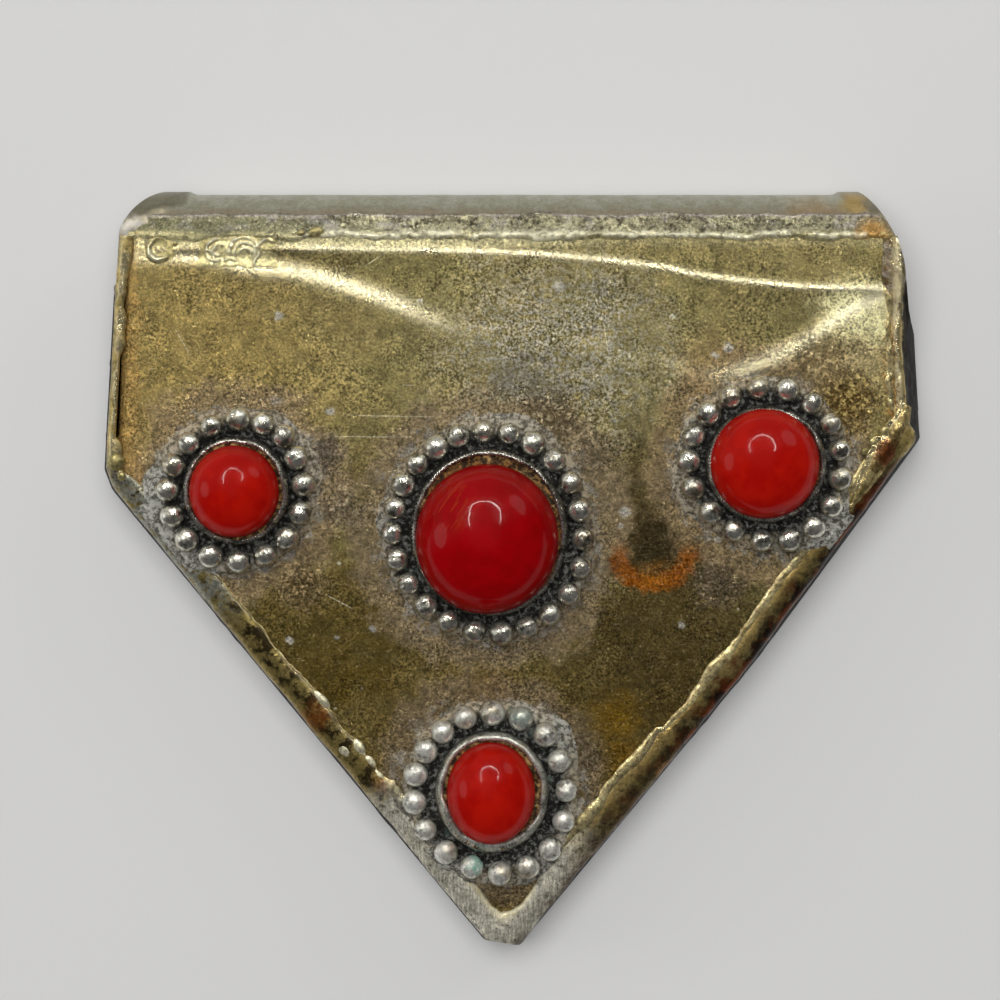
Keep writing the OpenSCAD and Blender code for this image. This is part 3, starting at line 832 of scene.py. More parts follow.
brass_walls = case_finish("old_brass_walls", (0.46, 0.37, 0.15), (0.14, 0.11, 0.042), 0.7, metallic=0.7,
                          rough_span=(0.22, 0.42), layers=wall_layers, grit=(0.74, 1.26))
walls = bmesh.new()
wear_and_sheen = walls.verts.layers.float.new("wear_and_sheen")
band = walls.verts.layers.float.new("band")
top_row = fold_row + fold_steps - 1
for v, across, up in add_grid(walls, len(stations) - 1, row_count - 1):
    s = stations[round(across * (len(stations) - 1))]
    row = round(up * (row_count - 1))
    v.co = wall_point(s, row)
    v[band] = clamp((row - fold_row + 1) / (row_count - fold_row))
    patch = waver(s / 1.6, row / 5, 8)
    # rubbed brass and a painted highlight: bright on the fold's ridge at the left and right, along the rim's inner
    # edge elsewhere
    if s < wall_starts[1]:
        v[wear_and_sheen] = hill((row - top_row + 0.5) / 2.4) * clamp((patch + 0.30) * 3)
    elif s > wall_starts[6]:
        v[wear_and_sheen] = hill((row - top_row) / 1.8) * clamp((patch + 0.85) * 2.5)
    elif wall_starts[3] - 9 < s < wall_starts[4] + 3:
        v[wear_and_sheen] = 0.6 * hill((row - row_count + 2) / 1.3)
    else:
        v[wear_and_sheen] = hill((row - row_count + 1) / 1.1) * clamp((patch + 0.35) * 2.5)
for turn in range(3):
    near = [v for v in walls.verts if v.co.z > -0.01 and any(
        (v.co.to_2d() - plan_point(wall_starts[i], 1, 3)).length < 1.9 for i in range(1, 7))]
    bmesh.ops.smooth_vert(walls, verts=near, factor=0.5, use_axis_x=True, use_axis_y=True, use_axis_z=False)
turn_faces(walls, outwards)
set_down(walls, "side_walls", brass_walls, "brass_case", wall_t)

# Ragged bead of hard solder that runs along the rim's inner edge, thick on the
# right and round the lower corner, thin on the left and filed smooth at the tip.
bead_gap = 0.10
bead_round = 12
# Each part has its start and its end along the outline, and its thickness
bead_parts = [
    (wall_starts[2] + 8.5, wall_starts[3] - 12.0, 0.03), (wall_starts[3] - 13.0, wall_starts[3] - 3.0, 0.26),
    (wall_starts[4] + 4.5, wall_starts[6] + 0.5, 0.20), (wall_starts[6] + 1.0, wall_starts[6] + 13.0, 0.12)]


def seam_layers(f):
    """Silver-grey where the seam was filed towards the tip"""
    f.spots(f.ragged(0.8, 3.0, 0.6, 0.5), ((-5.5, -20.5), 4.0, 8.0, 0.9, (0.72, 0.70, 0.62)))
    return 0.0


brass_solder = case_finish("hard_solder", (0.90, 0.74, 0.38), (0.42, 0.31, 0.11), 0.45, metallic=0.88,
                           rough_span=(0.26, 0.38), dark_share=0.62, bump=0.05, layers=seam_layers, mottle=1.6)
beads = bmesh.new()
for first, last, thick in bead_parts:
    for v, t, turn in add_grid(beads, round((last - first) / bead_gap), bead_round):
        s = first + (last - first) * t
        a = math.tau * turn
        rim, top = rim_at(s)
        place = rim_edge(s, rim + 0.02 + 0.12 * waver(s / 1.3, 11, 0))
        inward = (rim_edge(s, rim + 0.5) - place).normalized()
        swell = 1.05 + 1.3 * waver(s / 4.5, 21, 0) + 0.25 * waver(s / 1.2, 22, 0)
        swell += 0.16 * waver(s / 0.3, a, 23)
        r = thick * max(swell, 0.2) * min(1, 12 * t, 12 * (1 - t)) + 0.01
        place = place + inward * (r * (1.6 * math.cos(a) - 0.7))
        v.co = (place.x, place.y, top - 0.13 + 0.46 * r * math.sin(a) + 0.10 * r)
bmesh.ops.remove_doubles(beads, verts=beads.verts, dist=0.001)
bmesh.ops.recalc_face_normals(beads, faces=beads.faces)
set_down(beads, "seam_solder", brass_solder, "brass_case")

# Blobs, crumbs and a ring of the hard solder. They ran off the joints as the case
# was soldered, and set on the sheet and beside the rim.
crater_x, crater_y, crater_r = -24.0, 21.95, 0.72
# Each drop: place across and up, size, height above the sheet there, and how long
# it is for its size
drops = [
    (-26.98, 7.45, 0.62, 0.22, 1.0), (-26.6, 6.5, 0.34, 0.15, 1.0), (-13.06, -8.73, 0.34, 0.10, 2.4),
    (-10.53, -12.02, 0.40, 0.10, 1.8), (-11.49, -12.15, 0.38, 0.10, 1.5), (-13.88, -9.14, 0.27, 0.08, 1.5),
    (-9.75, -13.0, 0.30, 0.10, 1.8), (-9.2, -13.9, 0.28, 0.10, 1.9), (-8.2, -15.1, 0.26, 0.12, 2.4),
    (-13.4, 23.1, 0.34, 0.02, 1.7), (-14.4, 23.05, 0.24, 0.02, 1.3), (24.0, 22.95, 0.17, -0.05, 1),
    (24.35, 22.85, 0.15, -0.05, 1), (24.7, 22.8, 0.16, -0.05, 1), (24.95, 22.6, 0.13, -0.1, 1),
    (23.6, 22.9, 0.15, -0.05, 1), (25.3, 9.6, 0.34, 0.25, 1.3), (24.6, 8.9, 0.30, 0.30, 1.4),
    (25.9, 9.9, 0.28, 0.25, 1), (23.9, 8.2, 0.26, 0.30, 1.2), (22.2, 5.6, 0.24, 0.28, 1.2),
    (21.4, 4.3, 0.20, 0.28, 1), (-22.9, 22.3, 0.16, 0.05, 1)]
# Curls that the solder left as it wrinkled: middle, radius, first and last direction
wrinkles = [
    (-20.05, 21.85, 0.74, 75, 300), (-19.90, 21.80, 0.45, 60, 290), (-18.25, 21.70, 1.02, -25, 200),
    (-18.20, 21.65, 0.72, -35, 215), (-18.10, 21.60, 0.42, -10, 190), (-16.75, 21.95, 0.62, 30, 190),
    (-20.9, 21.2, 0.60, -60, 95), (-17.0, 21.0, 0.55, 100, 250), (-19.2, 20.9, 0.45, 20, 160)]

spilt = bmesh.new()
for i, (x, y, r, rise, long) in enumerate(drops):
    made = bmesh.ops.create_icosphere(spilt, subdivisions=3, radius=r)["verts"]
    height = sheet_height(min(max(x, -26), 26), min(y, lap_y)) + rise
    for v in made:
        v.co *= 1 + 0.22 * noise.noise(v.co / (1.2 * r) + Vector((i * 5, 0, 0)))
        v.co.x, v.co.z = v.co.x * long, v.co.z * (0.7 if long < 1.35 else 0.5)
    # each lies along the seam that it ran off
    turn = Matrix.Rotation(math.radians(-50 if y < 0 and x < 0 else 12 if y > 20 else 38), 4, "Z")
    bmesh.ops.transform(spilt, matrix=Matrix.Translation((x, y, height)) @ turn, verts=made)


def crater(x, y):
    """Height of a burst bubble of solder: a bowl with a crescent on its lower left"""
    away = Vector((x - crater_x, y - crater_y))
    crescent = 0.5 + 0.5 * math.cos(away.angle_signed(Vector((-0.75, -0.65)))) if away.length > 0 else 0.5
    edge = crater_r + 0.06 * noise.noise(away.to_3d() / 0.4)
    ridge = hill((away.length - edge) / (0.10 + 0.10 * crescent))
    return ridge * (0.03 + 0.24 * crescent ** 2), ridge * crescent ** 3, 1.25 - away.length


def curls(x, y):
    """Height of solder that wrinkled into curls as it set"""
    bend = 0.16 * waver(x / 0.7, y / 0.7, 40)
    lines = 0
    for cx, cy, r, first, last in wrinkles:
        away = Vector((x - cx, y - cy))
        way = (math.degrees(math.atan2(away.y, away.x)) - first) % 360
        fade = clamp(min(way, last - first - way) / 20)
        lines = max(lines, fade * hill((away.length - r - bend) / 0.11))
    lines *= min(max(0.75 + 0.9 * waver(x / 0.4, y / 0.4, 41), 0.2), 1)
    edge = min((x + 21.3) / 0.9, (-15.9 - x) / 0.9, (y - 20.6) / 0.5, (23.0 - y) / 0.4)
    edge += 0.4 * waver(x / 0.7, y / 0.7, 60)
    inside = clamp(edge)
    return (0.02 + 0.15 * lines + 0.02 * waver(x / 0.2, y / 0.2, 42)) * inside, lines * inside, edge


wear_and_sheen = spilt.verts.layers.float.new("wear_and_sheen")
for patch_height, x0, x1, y0, y1, count in [
        (crater, -25.3, -22.7, 20.7, 23.2, 60), (curls, -21.6, -15.6, 20.4, 23.3, 130)]:
    for v, _, _ in add_grid(spilt, count, round(count * (y1 - y0) / (x1 - x0))):
        x, y = (x0 + x1) / 2 + v.co.x * (x1 - x0) / 2, (y0 + y1) / 2 + v.co.y * (y1 - y0) / 2
        height, bright, edge = patch_height(x, y)
        base = max(sheet_height(x, y), tube_top(y, 0.06))
        v.co = (x, y, base + height - 0.12 * clamp(0.35 - edge))
        # painted highlight: the solder is painted bright along the crater's crescent and the curls
        v[wear_and_sheen] = min(bright, 1)
bmesh.ops.recalc_face_normals(spilt, faces=spilt.faces)


def spilt_layers(f):
    """Olive film on the spilt solder, and a painted highlight by the curls"""
    f.over(f.cloud(1.2, 3.0, 0.6, 0.42, 0.56, 0.20, 0.60), (0.42, 0.36, 0.15))
    # the first spot is a painted highlight where the curls run into the left crease's shine
    f.spots(None, ((-18.6, 21.2), 1.0, 2.2, 0.92, (0.90, 0.80, 0.42), (0.66, 1.0, 0)),
            ((-11.2, -11.6), 4.5, 6.5, 1.0, (0.86, 0.80, 0.55)))
    return 0.0


brass_spilt = case_finish("spilt_solder", (0.60, 0.52, 0.26), (0.24, 0.20, 0.08), 0.35, metallic=0.7,
                          rough_span=(0.28, 0.42), bump=0.02, layers=spilt_layers, bright=(1.0, 0.95, 0.68),
                          sheen_metal=0.45)
set_down(spilt, "solder_drops", brass_spilt, "brass_case")

# Torn flap of the side wall, a thin tongue of the same brass. It was hammered over
# the front sheet at the right corner, and its edge curls up.
flap_t = 0.34
# Foot of the flap: place across, place up, and how far the flap reaches from there
flap_foot = [(22.3, 4.6, 0.15), (23.6, 6.4, 0.7), (24.8, 8.0, 1.15), (25.6, 9.3, 1.2), (26.1, 10.6, 0.7),
             (26.2, 11.8, 0.15)]

flap = bmesh.new()
wear_and_sheen = flap.verts.layers.float.new("wear_and_sheen")
for v, across, t in add_grid(flap, 44, 12):
    steps = across * (len(flap_foot) - 1)
    i = min(int(steps), len(flap_foot) - 2)
    foot = Vector(flap_foot[i]).lerp(Vector(flap_foot[i + 1]), steps - i)
    reach = foot.z * (1 + 0.35 * waver(steps * 1.9, 3, 0) + 0.25 * waver(steps * 6, 4, 0))
    x, y = foot.x + 0.9 - (reach + 0.5) * 0.83 * t, foot.y - 0.62 + (reach + 0.5) * 0.56 * t
    height = sheet_height(min(x, 26.5), y) + rim_rise
    curl = 0.30 * math.sin(math.pi * min(t * 1.1, 1)) + 0.16 * t ** 6 * (1 + waver(steps * 4, 9, 0))
    height += curl * min(reach, 1) + 0.07 * waver(x / 0.6, y / 0.6, 3) - 0.25 * (1 - t) ** 3
    v.co = (x, y, height)
    # its curled edge is painted bright, rubbed brass and a painted highlight
    v[wear_and_sheen] = hill((t - 0.93) / 0.13) * clamp(0.7 + waver(steps * 3, 1, 0))
turn_faces(flap, upwards)


def flap_layers(f):
    """Red-brown heat stain on the outer half of the flap"""
    f.spots(f.ragged(0.9, 3.0, 0.6, 0.4), ((25.6, 8.0), 0.5, 1.6, 0.95, (0.17, 0.045, 0.012)))
    return 0.0


brass_flap = case_finish("old_brass_flap", (0.74, 0.59, 0.26), (0.24, 0.17, 0.06), 0.4, metallic=0.75,
                         rough_span=(0.2, 0.36), layers=flap_layers)
set_down(flap, "corner_flap", brass_flap, "brass_case", flap_t)

# Back of the case: the flat brass sheet that the walls are bent up from, plain and
# a little worn from lying on the table.
back_inset, back_height = 1.6, 0.02

back = bmesh.new()
bmesh.ops.create_grid(back, x_segments=60, y_segments=52, size=1)
for v in back.verts:
    v.co.x, v.co.y = v.co.x * 28, -1.9 + v.co.y * 24.4
cut_outline(back, [back_inset] * 7)
for v in back.verts:
    v.co.z = back_height
turn_faces(back, lambda face: -upwards(face))
set_down(back, "back_sheet", brass, "brass_case", wall_t)

# Cord tube rolled from the same sheet. Its ends are open, filed round in plan,
# and lapped by thin collars.
tube_t = 0.5
collar_proud = 0.2
tube_turns, tube_stations = 72, 96


def tube_end(y, z, side):
    """Place across of the tube's end at y and z, on the left (-1) or the right (1)"""
    i = 0 if side < 0 else 6
    point, inward = inset_line(i, (z - bend_r) * math.tan(math.radians(min(wall_leans[i], 12))))
    x = point.x + (point.y - y) * inward.y / inward.x
    return side * min(side * x, end_limit(y, side))


tube = bmesh.new()
for v, across, turn in add_grid(tube, tube_stations, tube_turns):
    share = across - 0.08 * math.sin(math.tau * 2 * across)
    a = math.tau * turn
    y, z = tube_y + tube_r * math.sin(a), tube_z + tube_r * math.cos(a)
    left, right = tube_end(y, z, -1), tube_end(y, z, 1)
    x = left + (right - left) * share
    # the collars' inner edges slant with the height up the picture
    up = clamp((y - 22.0) / 4)
    left_collar, right_collar = -26.2 + 4.1 * up ** 1.5, 25.4 - 3.2 * up ** 1.5
    jag = 0.12 * waver(a * 3, 0, 0)
    proud = 1 if x < left_collar + jag or x > right_collar + jag else 0
    radius = tube_r + proud * collar_proud + 0.02 * waver(x / 3, a * 1.2, 0)
    v.co = (x, tube_y + radius * math.sin(a), max(tube_z + radius * math.cos(a), 0))
bmesh.ops.remove_doubles(tube, verts=tube.verts, dist=0.01)
bmesh.ops.recalc_face_normals(tube, faces=tube.faces)
turn_faces(tube, lambda face: face.calc_center_median() - Vector((0, tube_y, tube_z)))


def tube_layers(f):
    """Brown along the solder, a dark collar with grey bloom on the left, a golden one on the right"""
    ragged = f.ragged(0.8, 4.0, 0.65, 0.35)
    across, up = f.parts()[:2]
    half_ragged = f.times(ragged, 0.5)
    f.over(f.ease(f.plus(up, half_ragged), 24.3, 25.1, 0.6, 0), (0.36, 0.27, 0.17))
    left = f.ease(f.plus(f.reach((-22.3, 21.6)), half_ragged), 3.3, 3.6)
    f.over(f.times(left, f.ease(across, -22.5, -22.1, 0.8, 0)), (0.20, 0.18, 0.12))
    right = f.ease(f.plus(f.reach((16.4, 18.5)), half_ragged), 9.3, 9.7)
    f.over(f.times(right, f.ease(across, 22.0, 23.0, 0, 0.8)), (0.25, 0.225, 0.155))
    f.spots(ragged, ((23.2, 25.2), 0.3, 1.4, 0.85, (0.52, 0.36, 0.13)),
            ((20.5, 24.2), 0.4, 2.6, 0.4, (0.50, 0.30, 0.12)))
    bloom = f.stain((-25.9, 23.4), 0.4, 1.7, 0.85, ragged=f.times(ragged, 1.4))
    f.over(f.times(bloom, f.cloud(1.8, 4.0, 0.7, 0.38, 0.56, 0.35, 1.0)), (0.42, 0.40, 0.37))
    f.spots(ragged, ((26.2, 22.9), 0.8, 2.0, 0.9, (0.14, 0.115, 0.075)))
    return 0.0


brass_tube = case_finish("old_brass_tube", (0.42, 0.415, 0.325), (0.35, 0.335, 0.245), 0.06, metallic=0.6,
                         bump=0.012, rough_span=(0.30, 0.38), layers=tube_layers, grit=(0.88, 1.12))
set_down(tube, "cord_tube", brass_tube, "brass_case", tube_t)

# Solder along the lap of the front sheet on the tube: a rough dull puddle with a
# wavy upper edge, and a ragged bright bead where the sheet's edge was drawn down.
solder_t = 0.35
solder_across, solder_up = 520, 30
solder_middle, solder_half, solder_bend = 0.22, 26.48, 23.5
puddle_top, bead_middle, under_bead = 24.42, 22.92, 0.42
left_end, right_end, end_run = -26.25, 28.2, 1.6
# The bead starts on the left here and ends on the right here
bead_from, bead_to = -15.5, 24.2
# Shares of the way up where the puddle starts to stand full, and of its lip and ridge
skirt_share, lip_share, ridge_share = 0.22, 0.06, 0.93

solder = bmesh.new()
wear_and_sheen = solder.verts.layers.float.new("wear_and_sheen")
lip_mark = solder.verts.layers.float.new("lip")
for v, _, t in add_grid(solder, solder_across, solder_up):
    x = solder_middle + v.co.x * solder_half
    # the puddle narrows at both ends, and the bead comes and goes
    ends = clamp(min(x - left_end, right_end - x) / end_run) ** 0.5
    bead_y = bead_middle + 0.26 * waver(x / 3.4, 31, 0) + 0.20 * waver(x / 1.1, 32, 0)
    flake = hill((x - 2.0) / 2.2) + 0.6 * hill((x + 6.5) / 2.6)
    low = bead_y - under_bead - 0.08 * waver(x / 0.7, 6, 0)
    high = puddle_top + 0.24 * waver(x / 4.2, 1, 0) + 0.14 * waver(x / 1.4, 2, 0)
    high = low + (high - low) * ends
    y = low + (high - low) * t
    if x > solder_bend:
        x = solder_bend + (x - solder_bend) * (end_limit(y, 1) - 0.12 - solder_bend) / 3.2
    base = max(sheet_height(x, min(y, lap_y)) - 0.40 * max(y - lap_y, 0), tube_top(y))
    there = clamp((waver(x / 2.3, 33, 0) + 0.46) * 2.4) * clamp((x - bead_from) / 2)
    there = max(there, flake) * clamp((bead_to - x) / 0.6)
    width = 0.17 + 0.13 * waver(x / 1.6, 34, 0) + 0.07 * waver(x / 0.4, 38, 0) + 0.14 * flake
    tall = 0.05 + 0.07 * waver(x / 1.1, 35, 0) + 0.05 * flake
    tall += 0.08 * waver(x / 0.24, y / 0.24, 36)
    bead = there * hill((y - bead_y) / max(width, 0.07))
    rough = waver(x / 0.45, y / 0.40, 4) + 0.8 * waver(x / 0.17, y / 0.17, 4)
    skirt = min(t / skirt_share, 1)
    skirt = skirt * skirt * (3 - 2 * skirt)
    lip = min((1 - t) / lip_share, 1) ** 0.5
    rise = (0.07 + 0.075 * rough * (1 - 0.6 * bead)) * lip * skirt
    rise = rise + 0.05 * hill((t - ridge_share) / 0.05) - 0.03 * (1 - skirt) - 0.05 * (1 - lip)
    v.co = (x, y, base + rise + max(tall, 0.01) * bead)
    v[lip_mark] = hill((t - ridge_share) / lip_share)
    # the bead is painted bright, rubbed solder and a painted highlight
    v[wear_and_sheen] = min(bead * 1.3, 1) * clamp(0.9 + 1.0 * waver(x / 0.4, y / 0.4, 37))
turn_faces(solder, upwards)


def puddle_layers(f):
    """Lilac-grey patches, a pinkish line along the upper edge, olive towards the sheet"""
    across, up = f.parts()[:2]
    y = f.plus(up, f.ragged(0.5, 3.0, 0.6, 0.25))
    f.tint(f.cloud(0.7, 4.0, 0.65, 0.36, 0.64, 0.55, 1.35))
    f.over(f.ease(across, -18.0, -12.0, 0.6, 0), (0.17, 0.17, 0.085))
    f.over(f.ease(across, 22.0, 25.0, 0, 0.6), (0.13, 0.105, 0.062))
    lilac = f.times(f.cloud(0.45, 5.0, 0.7, 0.52, 0.62), f.ease(y, 23.0, 23.6))
    f.over(f.times(lilac, 0.6), (0.42, 0.395, 0.37))
    f.over(f.cloud(5.0, 3.0, 0.75, 0.56, 0.66, 0, 0.75), (0.66, 0.62, 0.45))
    foot_tone = f.blend(f.ease(across, -2.0, 6.0), (0.62, 0.56, 0.30), (0.40, 0.35, 0.165))
    f.over(f.ease(y, 22.7, 23.2, 0.85, 0), foot_tone)
    f.over(f.times(f.own("lip"), f.cloud(0.5, 3.0, 0.6, 0.36, 0.56, 0.25, 0.9)), (0.48, 0.425, 0.385))
    f.spots(None, ((24.4, 22.8), 0.5, 1.6, 0.8, (0.50, 0.27, 0.07)))
    return 0.0


brass_puddle = case_finish("lap_solder", (0.41, 0.385, 0.24), (0.080, 0.070, 0.040), 0.6, metallic=0.6,
                           rough_span=(0.24, 0.5), layers=puddle_layers, bright=(1.0, 0.95, 0.68),
                           bump=0.10, mottle=2.4, dark_share=0.53, sheen_metal=0.25)
set_down(solder, "lap_solder", brass_puddle, "brass_case", solder_t)

# Settings of a white metal: a soldered base plate with a rough crust, a thin
# bezel with a finely notched edge, and a ring of cast granules round it.
granule_r = 0.8
granule_lift = 0.58
groove_depth, groove_share = 0.07, 0.3
plate_t, crust_t, bezel_t, thick_bezel_t = 0.35, 0.25, 0.20, 0.28
bezel_top = 1.85
notches_per_mm = 26
fit_gap = 0.05
merge_gap = 0.005
face_foot = foot_z - foot_y * face_slope
# Each has its middle, the reach of its ring with two waves round it as size and
# direction, its number of granules, the direction of the first, three waves in their
# spacing as size and direction, and the bezel's half widths and the bed's inner radius
settings = [
    ("centre", -1.63, 2.73, 6.68, (0.24, -72, 0.10, -54), 23, 11.7, (3.2, 40, 2.0, 54, 0.6, 16), 5.36, 5.71, 4.80),
    ("left", -18.73, 5.59, 4.69, (0.14, 76, 0.08, -53), 16, 1.2, (2.5, -2, 1.3, 11, 1.4, 24), 3.62, 3.66, 3.05),
    ("right", 17.15, 7.36, 5.18, (0.09, -53, 0.11, 56), 17, 10.7, (0.7, 18, 1.4, 90, 1.0, 9), 4.10, 3.98, 3.60),
    ("bottom", -1.43, -14.98, 5.32, (0.20, -69, 0.14, 59), 17, 0.8, (3.2, 52, 2.1, 72, 1.0, 15), 3.87, 4.20, 3.25)]
# Where the solder flooded out past the ring: direction, spread and size
crust_floods = {"centre": [(75, 28, 0.7), (170, 20, 0.3)], "left": [(205, 42, 2.3), (25, 30, 0.5)],
                "right": [(318, 26, 1.5), (200, 30, 0.4)], "bottom": [(235, 25, 1.0), (40, 25, 0.9), (305, 25, 0.8)]}


def white_metal_finish(name, light, dark, dirt, painted_shade_top, verdigris=False, metallic=0.9, gloss=(0.22, 0.34)):
    """Silvery cast metal, lighter on top and darker low down by painted shade, black in its pits, brown and green in
    places
    """
    f = Finish(name)
    f.colour = f.blend(f.cloud(1.1, 4.0, 0.7, dirt - 0.08, dirt + 0.05, 0.85, 0), light, dark)
    f.over(f.cloud(0.45, 3.0, 0.6, 0.54, 0.64, 0, 0.5), (0.52, 0.42, 0.26))
    f.tint(f.cloud(3.6, 3.0, 0.7, 0.32, 0.68, 0.66, 1.20))
    # painted shade round the foot of each granule and of the bezel
    up, height = f.parts()[1:]
    above = f.plus(f.less(height, f.times(up, face_slope)), f.ragged(1.8, 4.0, 0.7, 0.35))
    f.over(f.ease(above, face_foot + painted_shade_top - 0.4, face_foot + painted_shade_top + 0.25, 0.85, 0), (0.10, 0.092, 0.072))
    matt = 0.0
    if verdigris:
        matt = f.stain((-2.45, -19.6), 0.25, 1.0, 0.9, ragged=f.ragged(2.2, 4.0, 0.7, 0.45))
        f.over(matt, (0.22, 0.42, 0.33))
        f.spots(f.ragged(1.4, 3.0, 0.6, 0.4), ((0.6, -9.8), 0.3, 1.3, 0.5, (0.24, 0.38, 0.33)))
    rough = f.plus(f.cloud(2.0, 3.0, 0.6, 0.3, 0.7, *gloss), f.times(matt, 0.4))
    return f.done(f.less(metallic, f.times(matt, 0.8), clamp=True), rough, f.grain(3.0, 4.0, 0.65), 0.025)


def crust_finish(name, x, y, r):
    """Solder crust: painted shade, black with grey specks, inside the ring, sandy tan and grey frost outside it"""
    f = Finish("solder_crust_" + name)
    away = f.plus(f.reach((x, y)), f.ragged(1.2, 4.0, 0.65, 0.45))
    sandy = f.cloud(2.9, 5.0, 0.75, 0.42, 0.57)
    tan = f.blend(sandy, (0.17, 0.13, 0.075), (0.66, 0.56, 0.39))
    grey = f.blend(sandy, (0.13, 0.125, 0.10), (0.66, 0.65, 0.58))
    frosty = f.plus(f.own("frost"), f.cloud(0.55, 3.0, 0.6, 0.46, 0.62, 0, 0.6), clamp=True)
    # painted shade: black with grey specks between the granules and the bezel
    inside = f.blend(f.cloud(3.0, 4.0, 0.75, 0.49, 0.63), (0.018, 0.017, 0.015), (0.30, 0.30, 0.27))
    f.colour = f.blend(f.ease(away, r - 0.35, r + 0.45), inside, f.blend(frosty, tan, grey))
    f.over(f.cloud(0.7, 3.0, 0.6, 0.62, 0.70, 0, 0.4), (0.20, 0.29, 0.24))
    return f.done(0.45, f.cloud(1.5, 3.0, 0.6, 0.3, 0.7, 0.32, 0.6), f.grain(2.9, 5.0, 0.75), 0.17)


white_metal = white_metal_finish("tarnished_white_metal", (0.92, 0.90, 0.78), (0.14, 0.125, 0.09), 0.455, 1.12, True)
white_bright = white_metal_finish("white_metal_below", (0.90, 0.89, 0.80), (0.17, 0.16, 0.125), 0.44, 0.85, True,
                                  metallic=0.68, gloss=(0.32, 0.44))
bezel_metal = white_metal_finish("tarnished_bezel", (0.60, 0.58, 0.52), (0.07, 0.065, 0.05), 0.47, 1.3)
bezel_bright = white_metal_finish("tarnished_bezel_below", (0.76, 0.76, 0.68), (0.10, 0.10, 0.08), 0.42, 1.15, True,
                                  metallic=0.75, gloss=(0.28, 0.40))


def on_face(shape, x, y):
    """Lays a shape made round the origin on the sloping face at x, y"""
    shape.transform(Matrix.Translation((x, y, face_height(y) + fit_gap))
                    @ Matrix.Rotation(math.radians(face_tilt), 4, "X"))


def close_and_lay(shape, way, x, y):
    """Joins the ends of a grid bent round to a ring, turns its faces and lays it on the face"""
    bmesh.ops.remove_doubles(shape, verts=shape.verts, dist=merge_gap)
    turn_faces(shape, way)
    on_face(shape, x, y)


def swing(size, turns, angle, way):
    """Wave round a ring that is size high, turns times round"""
    return size * math.cos(math.radians(turns * (angle - way)))


def ring_reach(ring_r, bows, angle):
    return ring_r + swing(bows[0], 2, angle, bows[1]) + swing(bows[2], 3, angle, bows[3])


def waver_round(r, a, seed):
    """Smooth random value that closes round a ring"""
    return waver(r * math.cos(a), r * math.sin(a), seed)


